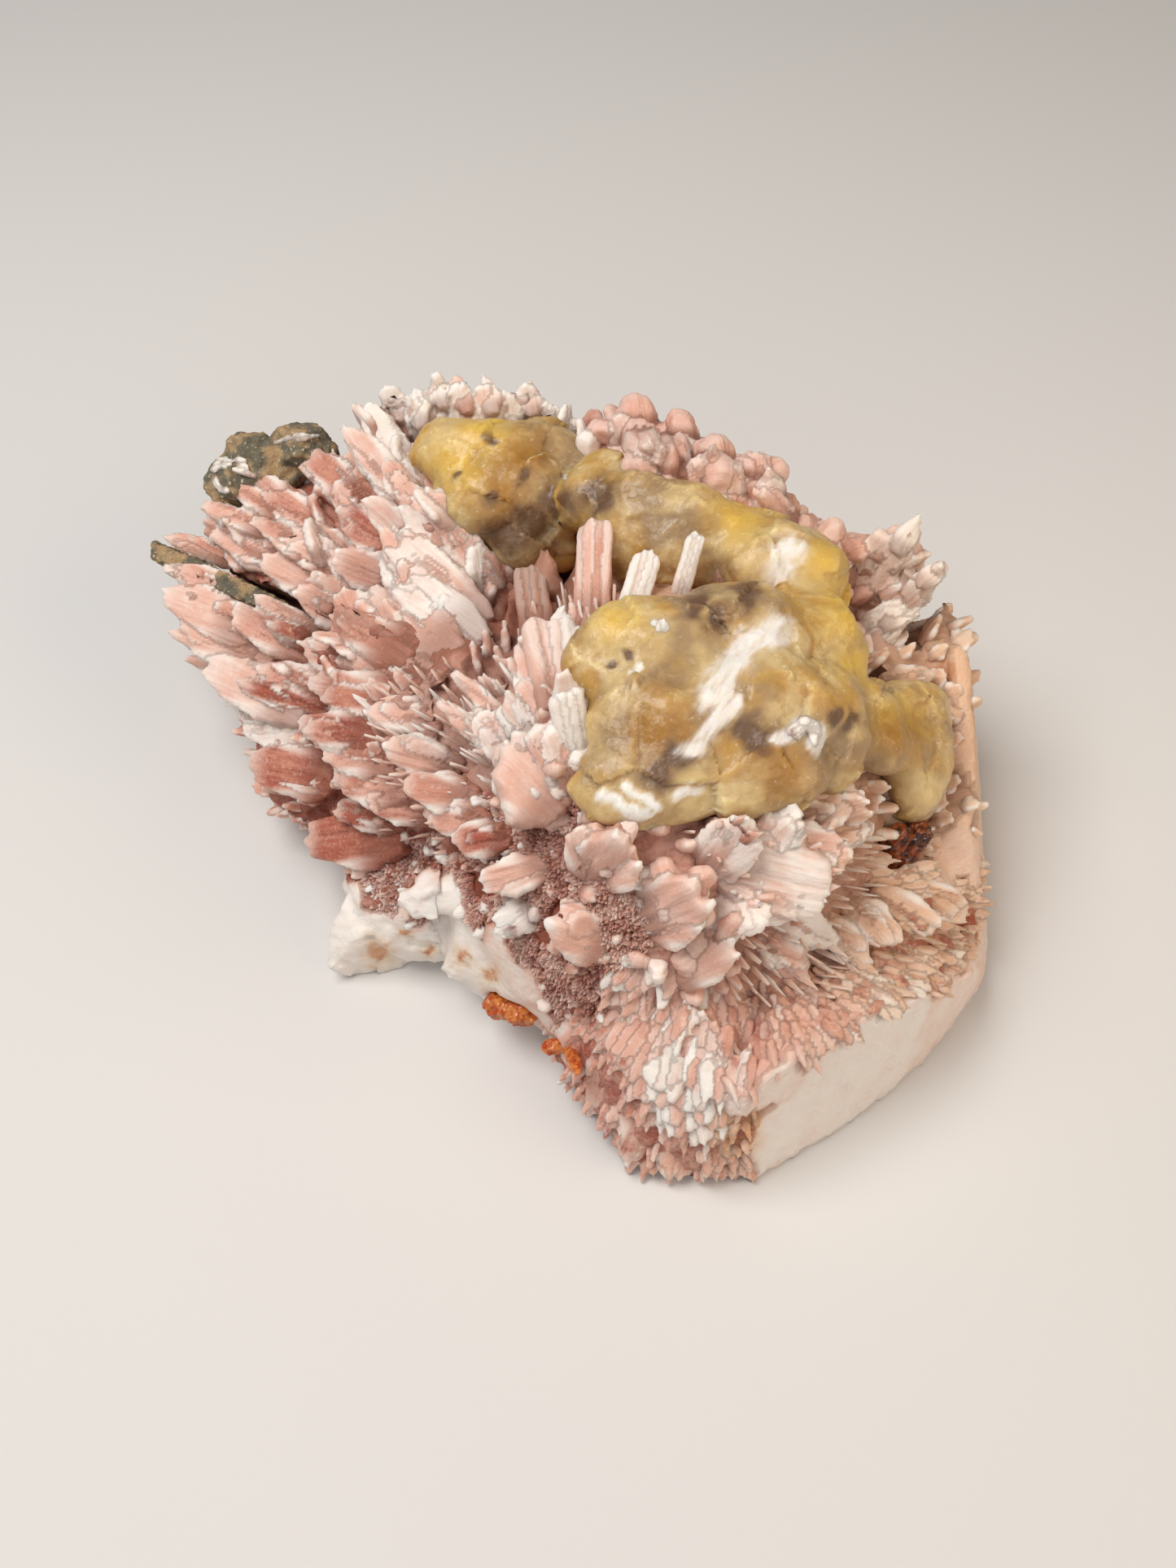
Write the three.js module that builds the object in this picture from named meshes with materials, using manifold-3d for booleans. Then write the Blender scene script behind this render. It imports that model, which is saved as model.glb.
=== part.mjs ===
// A mordenite cluster with honey-yellow stilbite, as a mineral specimen that rests on a table.
// Millimetres, +Z up, the table is z = 0, the side that shows best faces -Y.
import * as THREE from 'three';
import { ConvexGeometry } from 'three/addons/geometries/ConvexGeometry.js';
import { mergeVertices } from 'three/addons/utils/BufferGeometryUtils.js';
import Module from 'manifold-3d';

const wasm = await Module();
wasm.setup();

// Driving dimensions
const clearance = 0.3; // between two minerals that touch
const sink = 4; // how far a blade's root goes below the core's surface
const padSink = 1; // how far a rounded pad's middle is drawn toward the inside
const bladeFlatness = 0.5; // thickness of a blade as a share of its width
const knobFlatness = 0.7;
const prismFlatness = 0.8;
const rollSpread = 0.6; // how far a blade may roll about its own length, in radians
const lumpiness = 0.05; // how uneven the core's lobes are, as a share of their radius
const hiddenBladeLength = 6.5; // free length of the blades around the hidden back
const hiddenBladeWidth = 3.6;
const smallestShare = 0.7; // of that length or width, at the least
const shareSpread = 0.6; // and how much the dice add to it, at the most
const weldDistance = 1e-4; // corners closer than this are one
const dodecahedronRadius = 1.08; // a little over 1, so that its flat faces lie about where the ball would
const seeds = { blades: 11, knobs: 21, sliver: 32, pocket: 33, hidden: 77 };

// The places of the blades were read off one slanted view of the specimen. (u, v) is how far right
// and up of the middle a point is seen, in mm, by an eye 170 mm from a point 24 mm above the table.
const eyeDistance = 170;
const pivot = new THREE.Vector3(0, 0, 24);
const eyeElevation = THREE.MathUtils.degToRad(55);
const acrossView = new THREE.Vector3(1, 0, 0);
const upView = new THREE.Vector3(0, Math.sin(eyeElevation), Math.cos(eyeElevation));
const towardEye = new THREE.Vector3(0, -Math.cos(eyeElevation), Math.sin(eyeElevation));
const eye = pivot.clone().addScaledVector(towardEye, eyeDistance);

// The massive core, as lobes: centre x, y, z, radii across, deep and high, and fineness of the facets
const coreLobes = [
  [8, 2, 13, 27, 26, 30, 2],
  [10, -19, 6, 14, 13, 14, 1],
  [29, -8, 8, 13, 13, 14, 1],
  [31, 11, 12, 11, 17, 18, 1],
  [10, 30, 21, 16, 15, 20, 1],
  [21, 24, 18, 12, 13, 18, 1],
  [-12, 35, 19, 15, 16, 20, 1],
  [-22, 36, 18, 12, 13, 17, 1],
  [-31, 37, 20, 13, 10, 11, 1],
  [-31, 31, 16, 15, 12, 12, 1],
  [-36, 26, 15, 11, 9, 9, 1],
  [-25, 16, 11, 16, 14, 13, 1],
  [-13, 9, 16, 15, 15, 20, 1],
  [-17, -2, 7, 11, 9, 10, 1],
  [-5, -9, 8, 12, 9, 14, 1],
];

const sprayCentre = new THREE.Vector3(0, 4, 4); // the blades point away from this point, low inside

// Blades: tip u, v, root u, v, width, and how far the tip stands off the core toward the eye
const leftBlades = [
  [-30, 35.5, -25, 31.5, 3.2, 3.4], [-42, 30, -34, 28, 2, 3], [-39.5, 33, -33, 29.5, 2, 3],
  [-44.8, 23.2, -37, 21, 2.8, 4], [-43, 15.8, -35, 14.5, 3.6, 3], [-40.5, 27, -33, 24.2, 3.2, 3.4],
  [-35, 31.5, -28.5, 28, 3, 3.6], [-35.5, 24.5, -28, 21.5, 3.4, 4], [-38.8, 18.6, -31, 15, 3.8, 3.4],
  [-27.7, 24.5, -20, 22.5, 3.8, 5], [-31.8, 21.2, -24.5, 18, 3.8, 4], [-33, 27, -26, 23.5, 3.2, 4],
  [-27.5, 29.8, -20.5, 25.8, 3.4, 4.5], [-26.5, 14, -18, 10.5, 3.8, 4], [-24.5, 17.6, -17, 13.4, 3.4, 4.4],
  [-30, 11.3, -21, 9.5, 3.6, 4], [-24.5, 8.6, -16.5, 7.5, 3.2, 4], [-38.2, 7.4, -30.5, 7, 3.4, 3.5],
  [-28, -2.8, -21, -3.5, 3, 3.5], [-22.5, 4.2, -14.5, 2.5, 3.2, 4], [-20.5, 0, -12.5, -1.2, 3.2, 3.5],
  [-18, -3.4, -11, -4, 3.2, 3.5], [-15, -6.2, -8.5, -5.5, 3, 3.5], [-35.6, 12.5, -29, 10.5, 3.2, 3.5],
];
const crestBlades = [
  [-26.6, 39.2, -19.5, 31, 2.8, 4], [-24.1, 41, -19.5, 34, 3.2, 4], [-21.7, 42.7, -18.8, 36.6, 3, 4],
  [-19.3, 42, -17.4, 37.4, 2.2, 3.6], [-16.4, 43.9, -15.2, 38.6, 3, 4], [-13.8, 43.4, -13, 38.6, 2.8, 4],
  [-11.3, 43, -10.8, 38.6, 2.8, 4], [-8.8, 42.8, -8.6, 38.6, 2.4, 4], [-6.6, 42.7, -6.6, 38.4, 3, 4],
  [-4, 41.1, -4.2, 37.6, 3, 4], [-1.4, 39.4, -2, 36, 2.8, 4], [-19.2, 36.8, -16.3, 29.2, 2.2, 6],
  [-17, 32.4, -13.5, 27.5, 2, 5], [-23.6, 37, -17.8, 30.4, 3, 5], [-21.5, 33.6, -16.5, 28.5, 2.4, 5],
  [-20.8, 29.7, -11, 20.5, 4.2, 5.4], [-21.8, 27, -11.5, 18.5, 4.2, 5], [-22.8, 23.8, -12, 16.5, 4.2, 5],
  [-17.6, 31, -10, 22.5, 3, 5],
];
const middleBlades = [
  [-15, 12.5, -8, 6.5, 1.6, 3.4], [-16.5, 9, -9.5, 4.4, 1.8, 3.4], [-9.2, 10, -5.5, 5, 2, 5],
  [-7.6, 15.6, -5, 9, 2.2, 5], [-6.4, 23.6, -5.2, 14, 3.2, 6], [0.8, 28.9, 0.4, 17.5, 3.4, 7],
  [6.6, 25.3, 4.2, 18, 2.6, 7], [11.8, 27.3, 10, 20.5, 1.8, 7], [-4.3, 18.1, -2.8, 8.5, 5, 6],
  [-2.7, 10.7, -0.8, 1.5, 3, 5.5], [8, 18, 6, 10, 1.8, 7.5],
];
const rightBlades = [
  [29.5, 26.9, 26.3, 23.5, 2.4, 5], [35.3, 27.6, 33.5, 21, 2.8, 6], [38, 23.7, 34.6, 19, 2.2, 6],
  [37.5, 11.8, 33, 12, 2.2, 4], [29.8, -0.8, 23.5, -3.5, 3.4, 4], [29.6, 2.2, 24, 1, 3, 4],
  [31, -4.2, 25, -5.8, 3, 3.5], [26.2, -11.6, 15.5, -8, 6.5, 5], [28, -7.6, 20, -6, 4.2, 4],
  [17, -4, 14, -9.5, 4.4, 5], [22.5, -2.6, 19, -7.5, 4, 4.5], [19, -14.6, 15, -12.5, 4.2, 4.5],
  [27, -17.5, 21, -13, 3, 3.5], [24, -21, 19, -16.5, 3.2, 3.5], [41.4, -14.5, 35.5, -10.5, 3, 3],
  [38, -16, 32, -11.5, 3, 3.4], [34, -17.5, 29, -12.5, 3, 3.2], [30.5, -19.8, 26.5, -14.5, 2.6, 3],
];
const rimBlades = [
  [42, -20.6, 36, -15, 3, 2.5], [38, -22.2, 33.5, -16, 3, 2.5], [34, -23, 30, -17, 3, 2.5],
  [29.8, -24.8, 26, -18.5, 3, 2.5], [25.6, -26.4, 22, -20, 3, 2.5], [21.6, -28.6, 18.6, -22.5, 3, 2.5],
  [18.2, -31.4, 15.2, -26, 3, 2.5], [16.4, -36, 13.5, -31, 3, 2.5], [-12, -10.8, -4.5, -8.8, 3.2, 4],
];

// Blunt, rounded blades, given in the same way
const knobs = [
  [-46, 20.5, -37, 17.5, 4.8, 4], [-28.3, 19.3, -18, 14, 6, 5], [-41.2, 12.8, -31.5, 8.5, 5, 4],
  [-32, 6.2, -24, 6, 3.8, 4], [-36.8, 2.3, -28.5, 1.2, 4.4, 4], [-28.5, 1, -20, 0.4, 4, 4],
  [-30.3, -6.2, -21, -5.2, 5.2, 4], [-12.8, 8, -8.5, 3, 3.2, 4], [-9.8, 4.6, -3, -2.5, 7, 5],
  [-5.5, 6.5, -1.5, 0, 4.5, 4.5], [33.3, 28, 30, 19.5, 4.5, 6], [35.2, 19.2, 30.5, 17, 3.2, 5],
  [4.2, -4.6, 0.5, -9.5, 4.8, 4.5], [-1.5, -5, 1, -10, 3.2, 4], [13.8, -10.5, 6.5, -14.5, 5.2, 4.5],
  [15.8, -17, 9.5, -21, 4.5, 4], [-21, -11.2, -14, -13, 6, 3], [-15.2, -21.3, -13.5, -16, 4.6, 3],
  [-10, -16.3, -6.5, -13.5, 3.2, 4], [-4.3, -14.6, 2, -17.5, 4.8, 4], [-8.2, -25.6, -7, -18.5, 6, 3],
  [-3.6, -30.4, 1, -26, 3.6, 3], [0.2, -35, 3, -29.5, 3.4, 3], [4.2, -41, 7, -35.5, 3.8, 3],
  [9.5, -43.2, 10, -37.5, 4, 3],
];

// Rounded pads: centre u, v, half sizes across and up the view and toward the eye, and stand-off
const backPads = [
  [1, 36.5, 2.4, 2.6, 3, 3], [5, 38.6, 3.4, 3.2, 4, 3], [10, 37, 2.8, 2.9, 3.5, 3],
  [7.5, 33.6, 3, 2.8, 3.5, 3],
  [13.4, 34.6, 2.6, 2.8, 3.5, 3], [18.6, 32.2, 3.6, 3.6, 4, 3], [21.4, 28.6, 3, 2.8, 3.5, 3],
  [25.6, 26.2, 2.4, 2, 3, 3],
];
const mainStilbitePads = [
  [6.5, 13.5, 8, 6.6, 4.5, 2], [16, 16, 7.5, 5.5, 5, 2.6], [24, 14.5, 6, 6.4, 5, 2.4],
  [9, 7, 8.4, 5, 4.6, 2.4],
  [19, 8, 7.5, 5.4, 5, 2.8], [25.5, 5.5, 4.6, 6.4, 4.5, 2], [14, 21.2, 7, 4, 4.4, 2.6],
  [22.4, 20.6, 5.6, 4.8, 4.6, 2.6], [7, 0, 8.4, 4.4, 4.4, 2], [17.5, 1.2, 7.5, 4.4, 4.4, 2],
];
const ridgeStilbitePads = [
  [8, 29.8, 5.4, 3.2, 3.6, 2.8], [15.5, 27, 5.4, 3.2, 3.8, 2.8], [22.4, 24.8, 5, 2.8, 3.8, 2.6],
];
const upperStilbitePads = [
  [-13.5, 36, 6, 3.8, 4.4, 2], [-6.5, 36, 6.4, 3.6, 4.6, 2.4], [-12, 31.4, 5, 4.4, 4.2, 1.8],
  [-7.5, 31.4, 4.2, 4.4, 4, 1.8],
];
const middleStilbitePads = [[-0.3, 35, 3.8, 2.8, 3.8, 4], [1.2, 31.4, 4.4, 3.2, 3.8, 4]];
const rightStilbitePads = [[33, 8, 3.6, 3, 3.6, 1.8], [30.8, 4.8, 2.6, 2.6, 3, 1.4]];

// Hollows, given as pads that are cut away: the dark cleft, the pocket at the right and a gap on the left
const hollows = [
  [-4.3, 25.5, 3.4, 4.2, 7, 0], [31.5, 11.6, 1.8, 1.8, 4, 0], [-19, 14, 1.4, 2.4, 3, 0],
];

// Chunks with flat broken faces, by their corners: u, v and height above the table
const whiteWall = [
  [15, -42.9, 0], [17.5, -42.9, 0], [22, -40.2, 0], [26, -38, 0], [32, -33.6, 0], [36, -30, 0],
  [40, -24.6, 0], [42.4, -21, 0.5], [43, -17, 1], [16, -34, 17], [20, -29.5, 19], [27, -25.8, 19.5],
  [33, -23.4, 18.5], [37, -22.6, 15], [42.2, -20.6, 7], [20, -14, 18], [34, -8, 15], [12, -20, 0],
  [34, 4, 0],
  [42.3, -12, 8], [41, -6, 11],
];
const rightSlab = [
  [38.3, 20.5, 27], [40, 18.3, 26.5], [41, 13, 25.5], [41.5, 5, 23], [41.7, 1, 21.5], [41, -6, 18],
  [42.2, -12, 12], [41.7, -17, 9], [40, 5, 2], [42, 0, 1], [42.5, -10, 1], [36, 18, 27], [36, -4, 19],
  [33, 5, 3], [34, -8, 3],
];
const leftTooth = [
  [-23.8, -8.3, 10], [-26, -12.5, 8.5], [-27.8, -17.5, 4.5], [-27.4, -19.6, 2.5], [-25, -20.6, 0],
  [-22, -20.2, 0], [-19, -18.8, 1], [-20, -11, 10], [-24.5, -16.5, 7.5], [-15, -12, 8], [-15, -17, 0],
  [-24, -12, 0],
];
const bottomBlock = [
  [-4.5, -27, 8], [-3.8, -30, 7], [-1, -33.5, 6], [3, -38.5, 3.5], [5.5, -41.8, 1], [10, -43, 0],
  [15.5, -42.8, 0], [-3, -25, 0], [0, -31, 0], [14, -38, 10], [15.5, -34, 16], [6, -35, 11],
  [2, -29, 15], [16, -26, 20], [4, -20, 20],
];
const chunks = [whiteWall, rightSlab, leftTooth, bottomBlock];

// Host rock and orange crystals
const rockPads = [
  [-35, 34, 4.6, 3.4, 4.5, 2.5], [-38, 32.5, 3.2, 3, 4, 2.5], [-31, 36.3, 3.6, 2.6, 4, 2.5],
  [-36.5, 36, 2.6, 1.8, 3, 2.5],
];
const rockSeam = [[-46.4, 25, 0.5], [-41, 22.6, 2], [-36, 20.2, 1.4], [-31, 17.6, 0.4]];
const seamThickness = 1.6;
const seamDepth = 9;
const lowerCrystals = [[-9.8, -24.3, 1.9, 1.6, 2.4, 4.4], [-7.4, -25, 2.2, 1.6, 2.4, 4.6]];
const sliverCrystals = [[-4.9, -28.2, -0.5, -31, 1.8, 4.5], [-1.1, -30.9, -3.5, -28.8, 1.5, 4.6]];
const pocketCrystals = [
  [33.5, -4.6, 35.5, -9.5, 2.6, 3.2], [36, -4.3, 36.6, -9.5, 2.8, 3.6], [38.6, -5.2, 37.6, -10, 2.4, 3.2],
];

const colours = {
  mordenite: 0xdcb5a6,
  stilbite: 0xc8a864,
  rock: 0x786449,
  orangeCrystal: 0xc8703c,
  darkCrystal: 0x7a3a22,
};

// Repeatable dice, so that the blades fall the same way every time
function makeDice(seed) {
  let state = seed;
  return () => {
    state = (Math.imul(state, 1664525) + 1013904223) >>> 0;
    return state / 4294967296;
  };
}

function toSolid(geometry) {
  const bare = geometry.clone();
  bare.deleteAttribute('normal');
  bare.deleteAttribute('uv');
  const merged = mergeVertices(bare, weldDistance);
  const mesh = new wasm.Mesh({
    numProp: 3,
    vertProperties: new Float32Array(merged.attributes.position.array),
    triVerts: new Uint32Array(merged.index.array),
  });
  return new wasm.Manifold(mesh);
}

function toGeometry(solid) {
  const mesh = solid.getMesh();
  const geometry = new THREE.BufferGeometry();
  geometry.setAttribute('position', new THREE.BufferAttribute(mesh.vertProperties, 3));
  geometry.setIndex(new THREE.BufferAttribute(mesh.triVerts, 1));
  return geometry;
}

function joinAll(solids) {
  return solids.reduce((whole, next) => whole.add(next));
}

// Slivers that a cut leaves beside the main body are dropped
function largestBody(solid) {
  return solid.decompose().reduce((largest, next) => (next.volume() > largest.volume() ? next : largest));
}

function sightline(u, v) {
  const seen = pivot.clone().addScaledVector(acrossView, u).addScaledVector(upView, v);
  return seen.sub(eye).normalize();
}

// Where a sight line meets the core, or passes closest to it outside the core's outline
function distanceToCore(direction) {
  let nearest = Infinity;
  let leastMiss = Infinity;
  let closest = eyeDistance;
  for (const [x, y, z, across, deep, high] of coreLobes) {
    const radii = new THREE.Vector3(across, deep, high);
    const from = new THREE.Vector3(eye.x - x, eye.y - y, eye.z - z).divide(radii);
    const along = direction.clone().divide(radii);
    const a = along.dot(along);
    const b = from.dot(along);
    const miss = from.dot(from) - 1 - (b * b) / a;
    if (miss <= 0) {
      nearest = Math.min(nearest, (-b - Math.sqrt(-miss * a)) / a);
    } else if (miss * Math.min(across, deep, high) < leastMiss) {
      leastMiss = miss * Math.min(across, deep, high);
      closest = -b / a;
    }
  }
  return nearest < Infinity ? nearest : closest;
}

function pointOffCore(u, v, standOff) {
  const direction = sightline(u, v);
  return eye.clone().addScaledVector(direction, distanceToCore(direction) - standOff);
}

function drawnInside(point, distance) {
  return point.addScaledVector(sprayCentre.clone().sub(point).normalize(), distance);
}

function pointAtHeight(u, v, height) {
  const direction = sightline(u, v);
  return eye.clone().addScaledVector(direction, (height - eye.z) / direction.z);
}

// A lump: a ball of flat facets, uneven by the sum of three waves, stretched to its radii. With detail 0
// it has twelve faces, and otherwise it is a finer and finer ball of triangles.
function lump(centre, radii, detail, unevenness, turn) {
  const ball = detail
    ? new THREE.IcosahedronGeometry(1, detail)
    : new THREE.DodecahedronGeometry(dodecahedronRadius);
  const places = ball.attributes.position;
  for (let i = 0; i < places.count; i += 1) {
    const p = new THREE.Vector3().fromBufferAttribute(places, i);
    const wave = Math.sin(5 * p.x + centre.y) + Math.sin(6 * p.y + centre.z) + Math.sin(5 * p.z + centre.x);
    p.multiplyScalar(1 + (unevenness * wave) / 3);
    places.setXYZ(i, p.x, p.y, p.z);
  }
  const place = new THREE.Matrix4().compose(centre, turn, radii);
  return toSolid(ball.applyMatrix4(place));
}

const viewTurn = new THREE.Quaternion().setFromRotationMatrix(
  new THREE.Matrix4().makeBasis(acrossView, upView, towardEye),
);
const noTurn = new THREE.Quaternion();

function pad([u, v, across, up, toward, standOff], grow, detail) {
  const centre = drawnInside(pointOffCore(u, v, standOff - toward / 2), padSink);
  const radii = new THREE.Vector3(across + grow, up + grow, toward + grow);
  return lump(centre, radii, detail, lumpiness, viewTurn);
}

// Rings of a blade: share of the length from root to tip, then half width, half thickness and corners
const bladeRings = [[0, 0.5, 0.5, 4], [0.74, 0.68, 0.6, 4]];
const bladeTip = [[0.95, -0.3], [1, 0.22]];
const knobRings = [[0, 0.36, 0.36, 3], [0.5, 0.54, 0.54, 5], [0.9, 0.4, 0.36, 4]];
const prismRings = [[0, 0.5, 0.5, 4], [0.86, 0.5, 0.5, 6], [1, 0.22, 0.24, 4]];

function bladeBetween(tip, root, width, thickness, roll, rings, chisel, grow) {
  const axis = tip.clone().sub(root);
  const length = axis.length();
  axis.normalize();
  const wide = new THREE.Vector3().crossVectors(axis, towardEye).normalize().applyAxisAngle(axis, roll);
  const thick = new THREE.Vector3().crossVectors(axis, wide);
  const corners = [];
  const corner = (share, w, t) => {
    corners.push(root.clone().addScaledVector(axis, share * length).addScaledVector(wide, w)
      .addScaledVector(thick, t));
  };
  for (const [share, halfWide, halfThick, count] of rings) {
    for (let i = 0; i < count; i += 1) {
      const angle = (2 * Math.PI * (i + 0.5)) / count;
      const w = Math.cos(angle) * (halfWide * width + grow);
      corner(share + (share * grow) / length, w, Math.sin(angle) * (halfThick * thickness + grow));
    }
  }
  for (const [share, side] of chisel) {
    corner(share + (share * grow) / length, side * width, 0);
  }
  return toSolid(new ConvexGeometry(corners));
}

function bladesFrom(list, rings, chisel, flatness, grow, seed) {
  const dice = makeDice(seed);
  return list.map(([tipU, tipV, rootU, rootV, width, standOff]) => {
    const tip = pointOffCore(tipU, tipV, standOff);
    const root = drawnInside(pointOffCore(rootU, rootV, 0), sink);
    const roll = (dice() * 2 - 1) * rollSpread;
    return bladeBetween(tip, root, width, width * flatness, roll, rings, chisel, grow);
  });
}

// The specimen's outline as seen, u, v, clockwise from the far left
const outline = [
  [-46.9, 26], [-41.5, 31.5], [-39, 36.5], [-29, 40], [-24.5, 41.5], [-21, 43], [-12, 44], [-4.5, 41.5],
  [0, 38.5], [5, 41.8], [11.5, 39.5], [20, 35.5], [24.5, 30], [28, 26.5], [33, 28.5], [36, 27], [38.4, 24],
  [41, 17], [42, 5], [41, -7], [42.5, -12], [42.6, -21], [36, -30], [26, -38], [17.5, -43], [6, -43.2],
  [-1.5, -33.5], [-5, -27], [-10, -25.6], [-14.5, -21.8], [-21, -19.5], [-27, -20], [-28, -17],
  [-23.8, -8.3],
  [-30, -8], [-30.8, -5.5], [-26, -2], [-34.5, -0.8], [-37.2, 2.5], [-31.5, 5], [-38, 6.5], [-41.6, 13],
  [-45.5, 18.5], [-46.5, 21], [-42.5, 23],
];

// Blades around the sides that the view hides, spread evenly over each lobe and pointing away from the
// spray centre. None starts low down, or behind the face where the back is broken off.
const goldenAngle = Math.PI * (3 - Math.sqrt(5));
const bladeSpacing = 10; // on the core's surface
const lowestFoot = 7;
// How strongly a blade leans away from the spray centre, against the lobe's own outward way
const sprayWeight = 1.4;
// A surface turned more than this toward the eye is seen, so its blades are listed above
const seenLimit = 0.3;
const buriedShare = 0.99; // a foot closer in than this share of a lobe's radii is inside that lobe
const breakStart = new THREE.Vector3(-26, 20, 25); // right of x, behind y and below z lies the break

function seenAt(point) {
  const offset = point.clone().sub(pivot);
  const scale = eyeDistance / (eyeDistance - offset.dot(towardEye));
  return [offset.dot(acrossView) * scale, offset.dot(upView) * scale];
}

function insideOutline([u, v]) {
  let inside = false;
  for (let i = 0, j = outline.length - 1; i < outline.length; j = i, i += 1) {
    const [ui, vi] = outline[i];
    const [uj, vj] = outline[j];
    if (vi > v !== vj > v && u < ((uj - ui) * (v - vi)) / (vj - vi) + ui) {
      inside = !inside;
    }
  }
  return inside;
}

function insideCore(point, share) {
  return coreLobes.some(([x, y, z, across, deep, high]) => {
    const reach = Math.hypot((point.x - x) / across, (point.y - y) / deep, (point.z - z) / high);
    return reach < share;
  });
}

function hiddenBlades(grow) {
  const dice = makeDice(seeds.hidden);
  const solids = [];
  for (const [x, y, z, across, deep, high] of coreLobes) {
    const count = Math.round((4 * Math.PI * across * Math.sqrt(deep * high)) / bladeSpacing ** 2);
    for (let i = 0; i < count; i += 1) {
      const level = 1 - (2 * (i + 0.5)) / count;
      const ring = Math.sqrt(1 - level * level);
      const around = goldenAngle * i;
      const way = new THREE.Vector3(Math.cos(around) * ring, Math.sin(around) * ring, level);
      const foot = new THREE.Vector3(x + way.x * across, y + way.y * deep, z + way.z * high);
      const outward = way.clone().divide(new THREE.Vector3(across, deep, high)).normalize();
      const spray = foot.clone().sub(sprayCentre).normalize();
      const direction = outward.clone().add(spray.multiplyScalar(sprayWeight)).normalize();
      const length = hiddenBladeLength * (smallestShare + shareSpread * dice());
      const width = hiddenBladeWidth * (smallestShare + shareSpread * dice());
      const roll = Math.PI * dice();
      const tip = foot.clone().addScaledVector(direction, length);
      const onBreak = foot.x > breakStart.x && foot.y > breakStart.y && foot.z < breakStart.z;
      const seen = outward.dot(towardEye) > seenLimit || foot.y < 0;
      const bare = seen || onBreak || foot.z < lowestFoot || insideCore(foot, buriedShare);
      if (bare || !insideOutline(seenAt(tip))) {
        continue;
      }
      const root = foot.clone().addScaledVector(direction, -sink);
      solids.push(bladeBetween(tip, root, width, width * bladeFlatness, roll, bladeRings, bladeTip, grow));
    }
  }
  return solids;
}

function cornersOf(list) {
  return list.map(([u, v, height]) => pointAtHeight(u, v, height));
}

// The hidden back, a broken face of a few flat facets: corners x, y, z
const brokenBack = [
  [-27, 45, 10], [-20, 52, 8], [-5, 53.5, 5], [10, 48, 4], [26, 39, 4], [36, 26, 5], [-24, 48, 27],
  [-10, 52.5, 30], [7, 48, 32], [22, 39, 29], [33, 27, 24], [-20, 42, 0], [-6, 46, 0], [12, 41, 0],
  [28, 31, 0], [35, 20, 0], [0, 12, 8], [-16, 22, 0], [24, 6, 0], [45, 20, 3], [38, 24, 25],
];

// Everything of the table's level and below
const big = 200;
const belowTable = toSolid(new THREE.BoxGeometry(big, big, big).translate(0, 0, -big / 2));

function buildMordenite(grow) {
  const lobes = coreLobes.map(([x, y, z, across, deep, high, detail]) => lump(
    new THREE.Vector3(x, y, z),
    new THREE.Vector3(across + grow, deep + grow, high + grow),
    detail,
    lumpiness,
    noTurn,
  ));
  const blades = [leftBlades, crestBlades, middleBlades, rightBlades, rimBlades].flatMap(
    (list, i) => bladesFrom(list, bladeRings, bladeTip, bladeFlatness, grow, seeds.blades + i),
  );
  const blunt = bladesFrom(knobs, knobRings, [], knobFlatness, grow, seeds.knobs);
  const backKnobs = backPads.map((entry) => pad(entry, grow, 0));
  const broken = chunks.map((list) => toSolid(new ConvexGeometry(cornersOf(list))));
  const back = toSolid(new ConvexGeometry(brokenBack.map(([x, y, z]) => new THREE.Vector3(x, y, z))));
  return joinAll([...lobes, ...blades, ...blunt, ...backKnobs, ...broken, back, ...hiddenBlades(grow)]);
}

function prisms(list, grow, seed) {
  return joinAll(bladesFrom(list, prismRings, [], prismFlatness, grow, seed));
}

// The seam is a hull around its line, so with grow it is longer at both ends as well as thicker and deeper
function seamSolid(grow) {
  const endGrows = rockSeam.map(() => 0);
  endGrows[0] = -2 * grow;
  endGrows[rockSeam.length - 1] = 2 * grow;
  const corners = rockSeam.flatMap(([u, v, standOff], i) => {
    const endGrow = endGrows[i];
    const half = seamThickness / 2 + grow;
    return [
      pointOffCore(u + endGrow, v + half, standOff + grow),
      pointOffCore(u + endGrow, v - half, standOff + grow),
      pointOffCore(u + endGrow, v + half, standOff - seamDepth - grow),
      pointOffCore(u + endGrow, v - half, standOff - seamDepth - grow),
    ];
  });
  return toSolid(new ConvexGeometry(corners));
}

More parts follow.
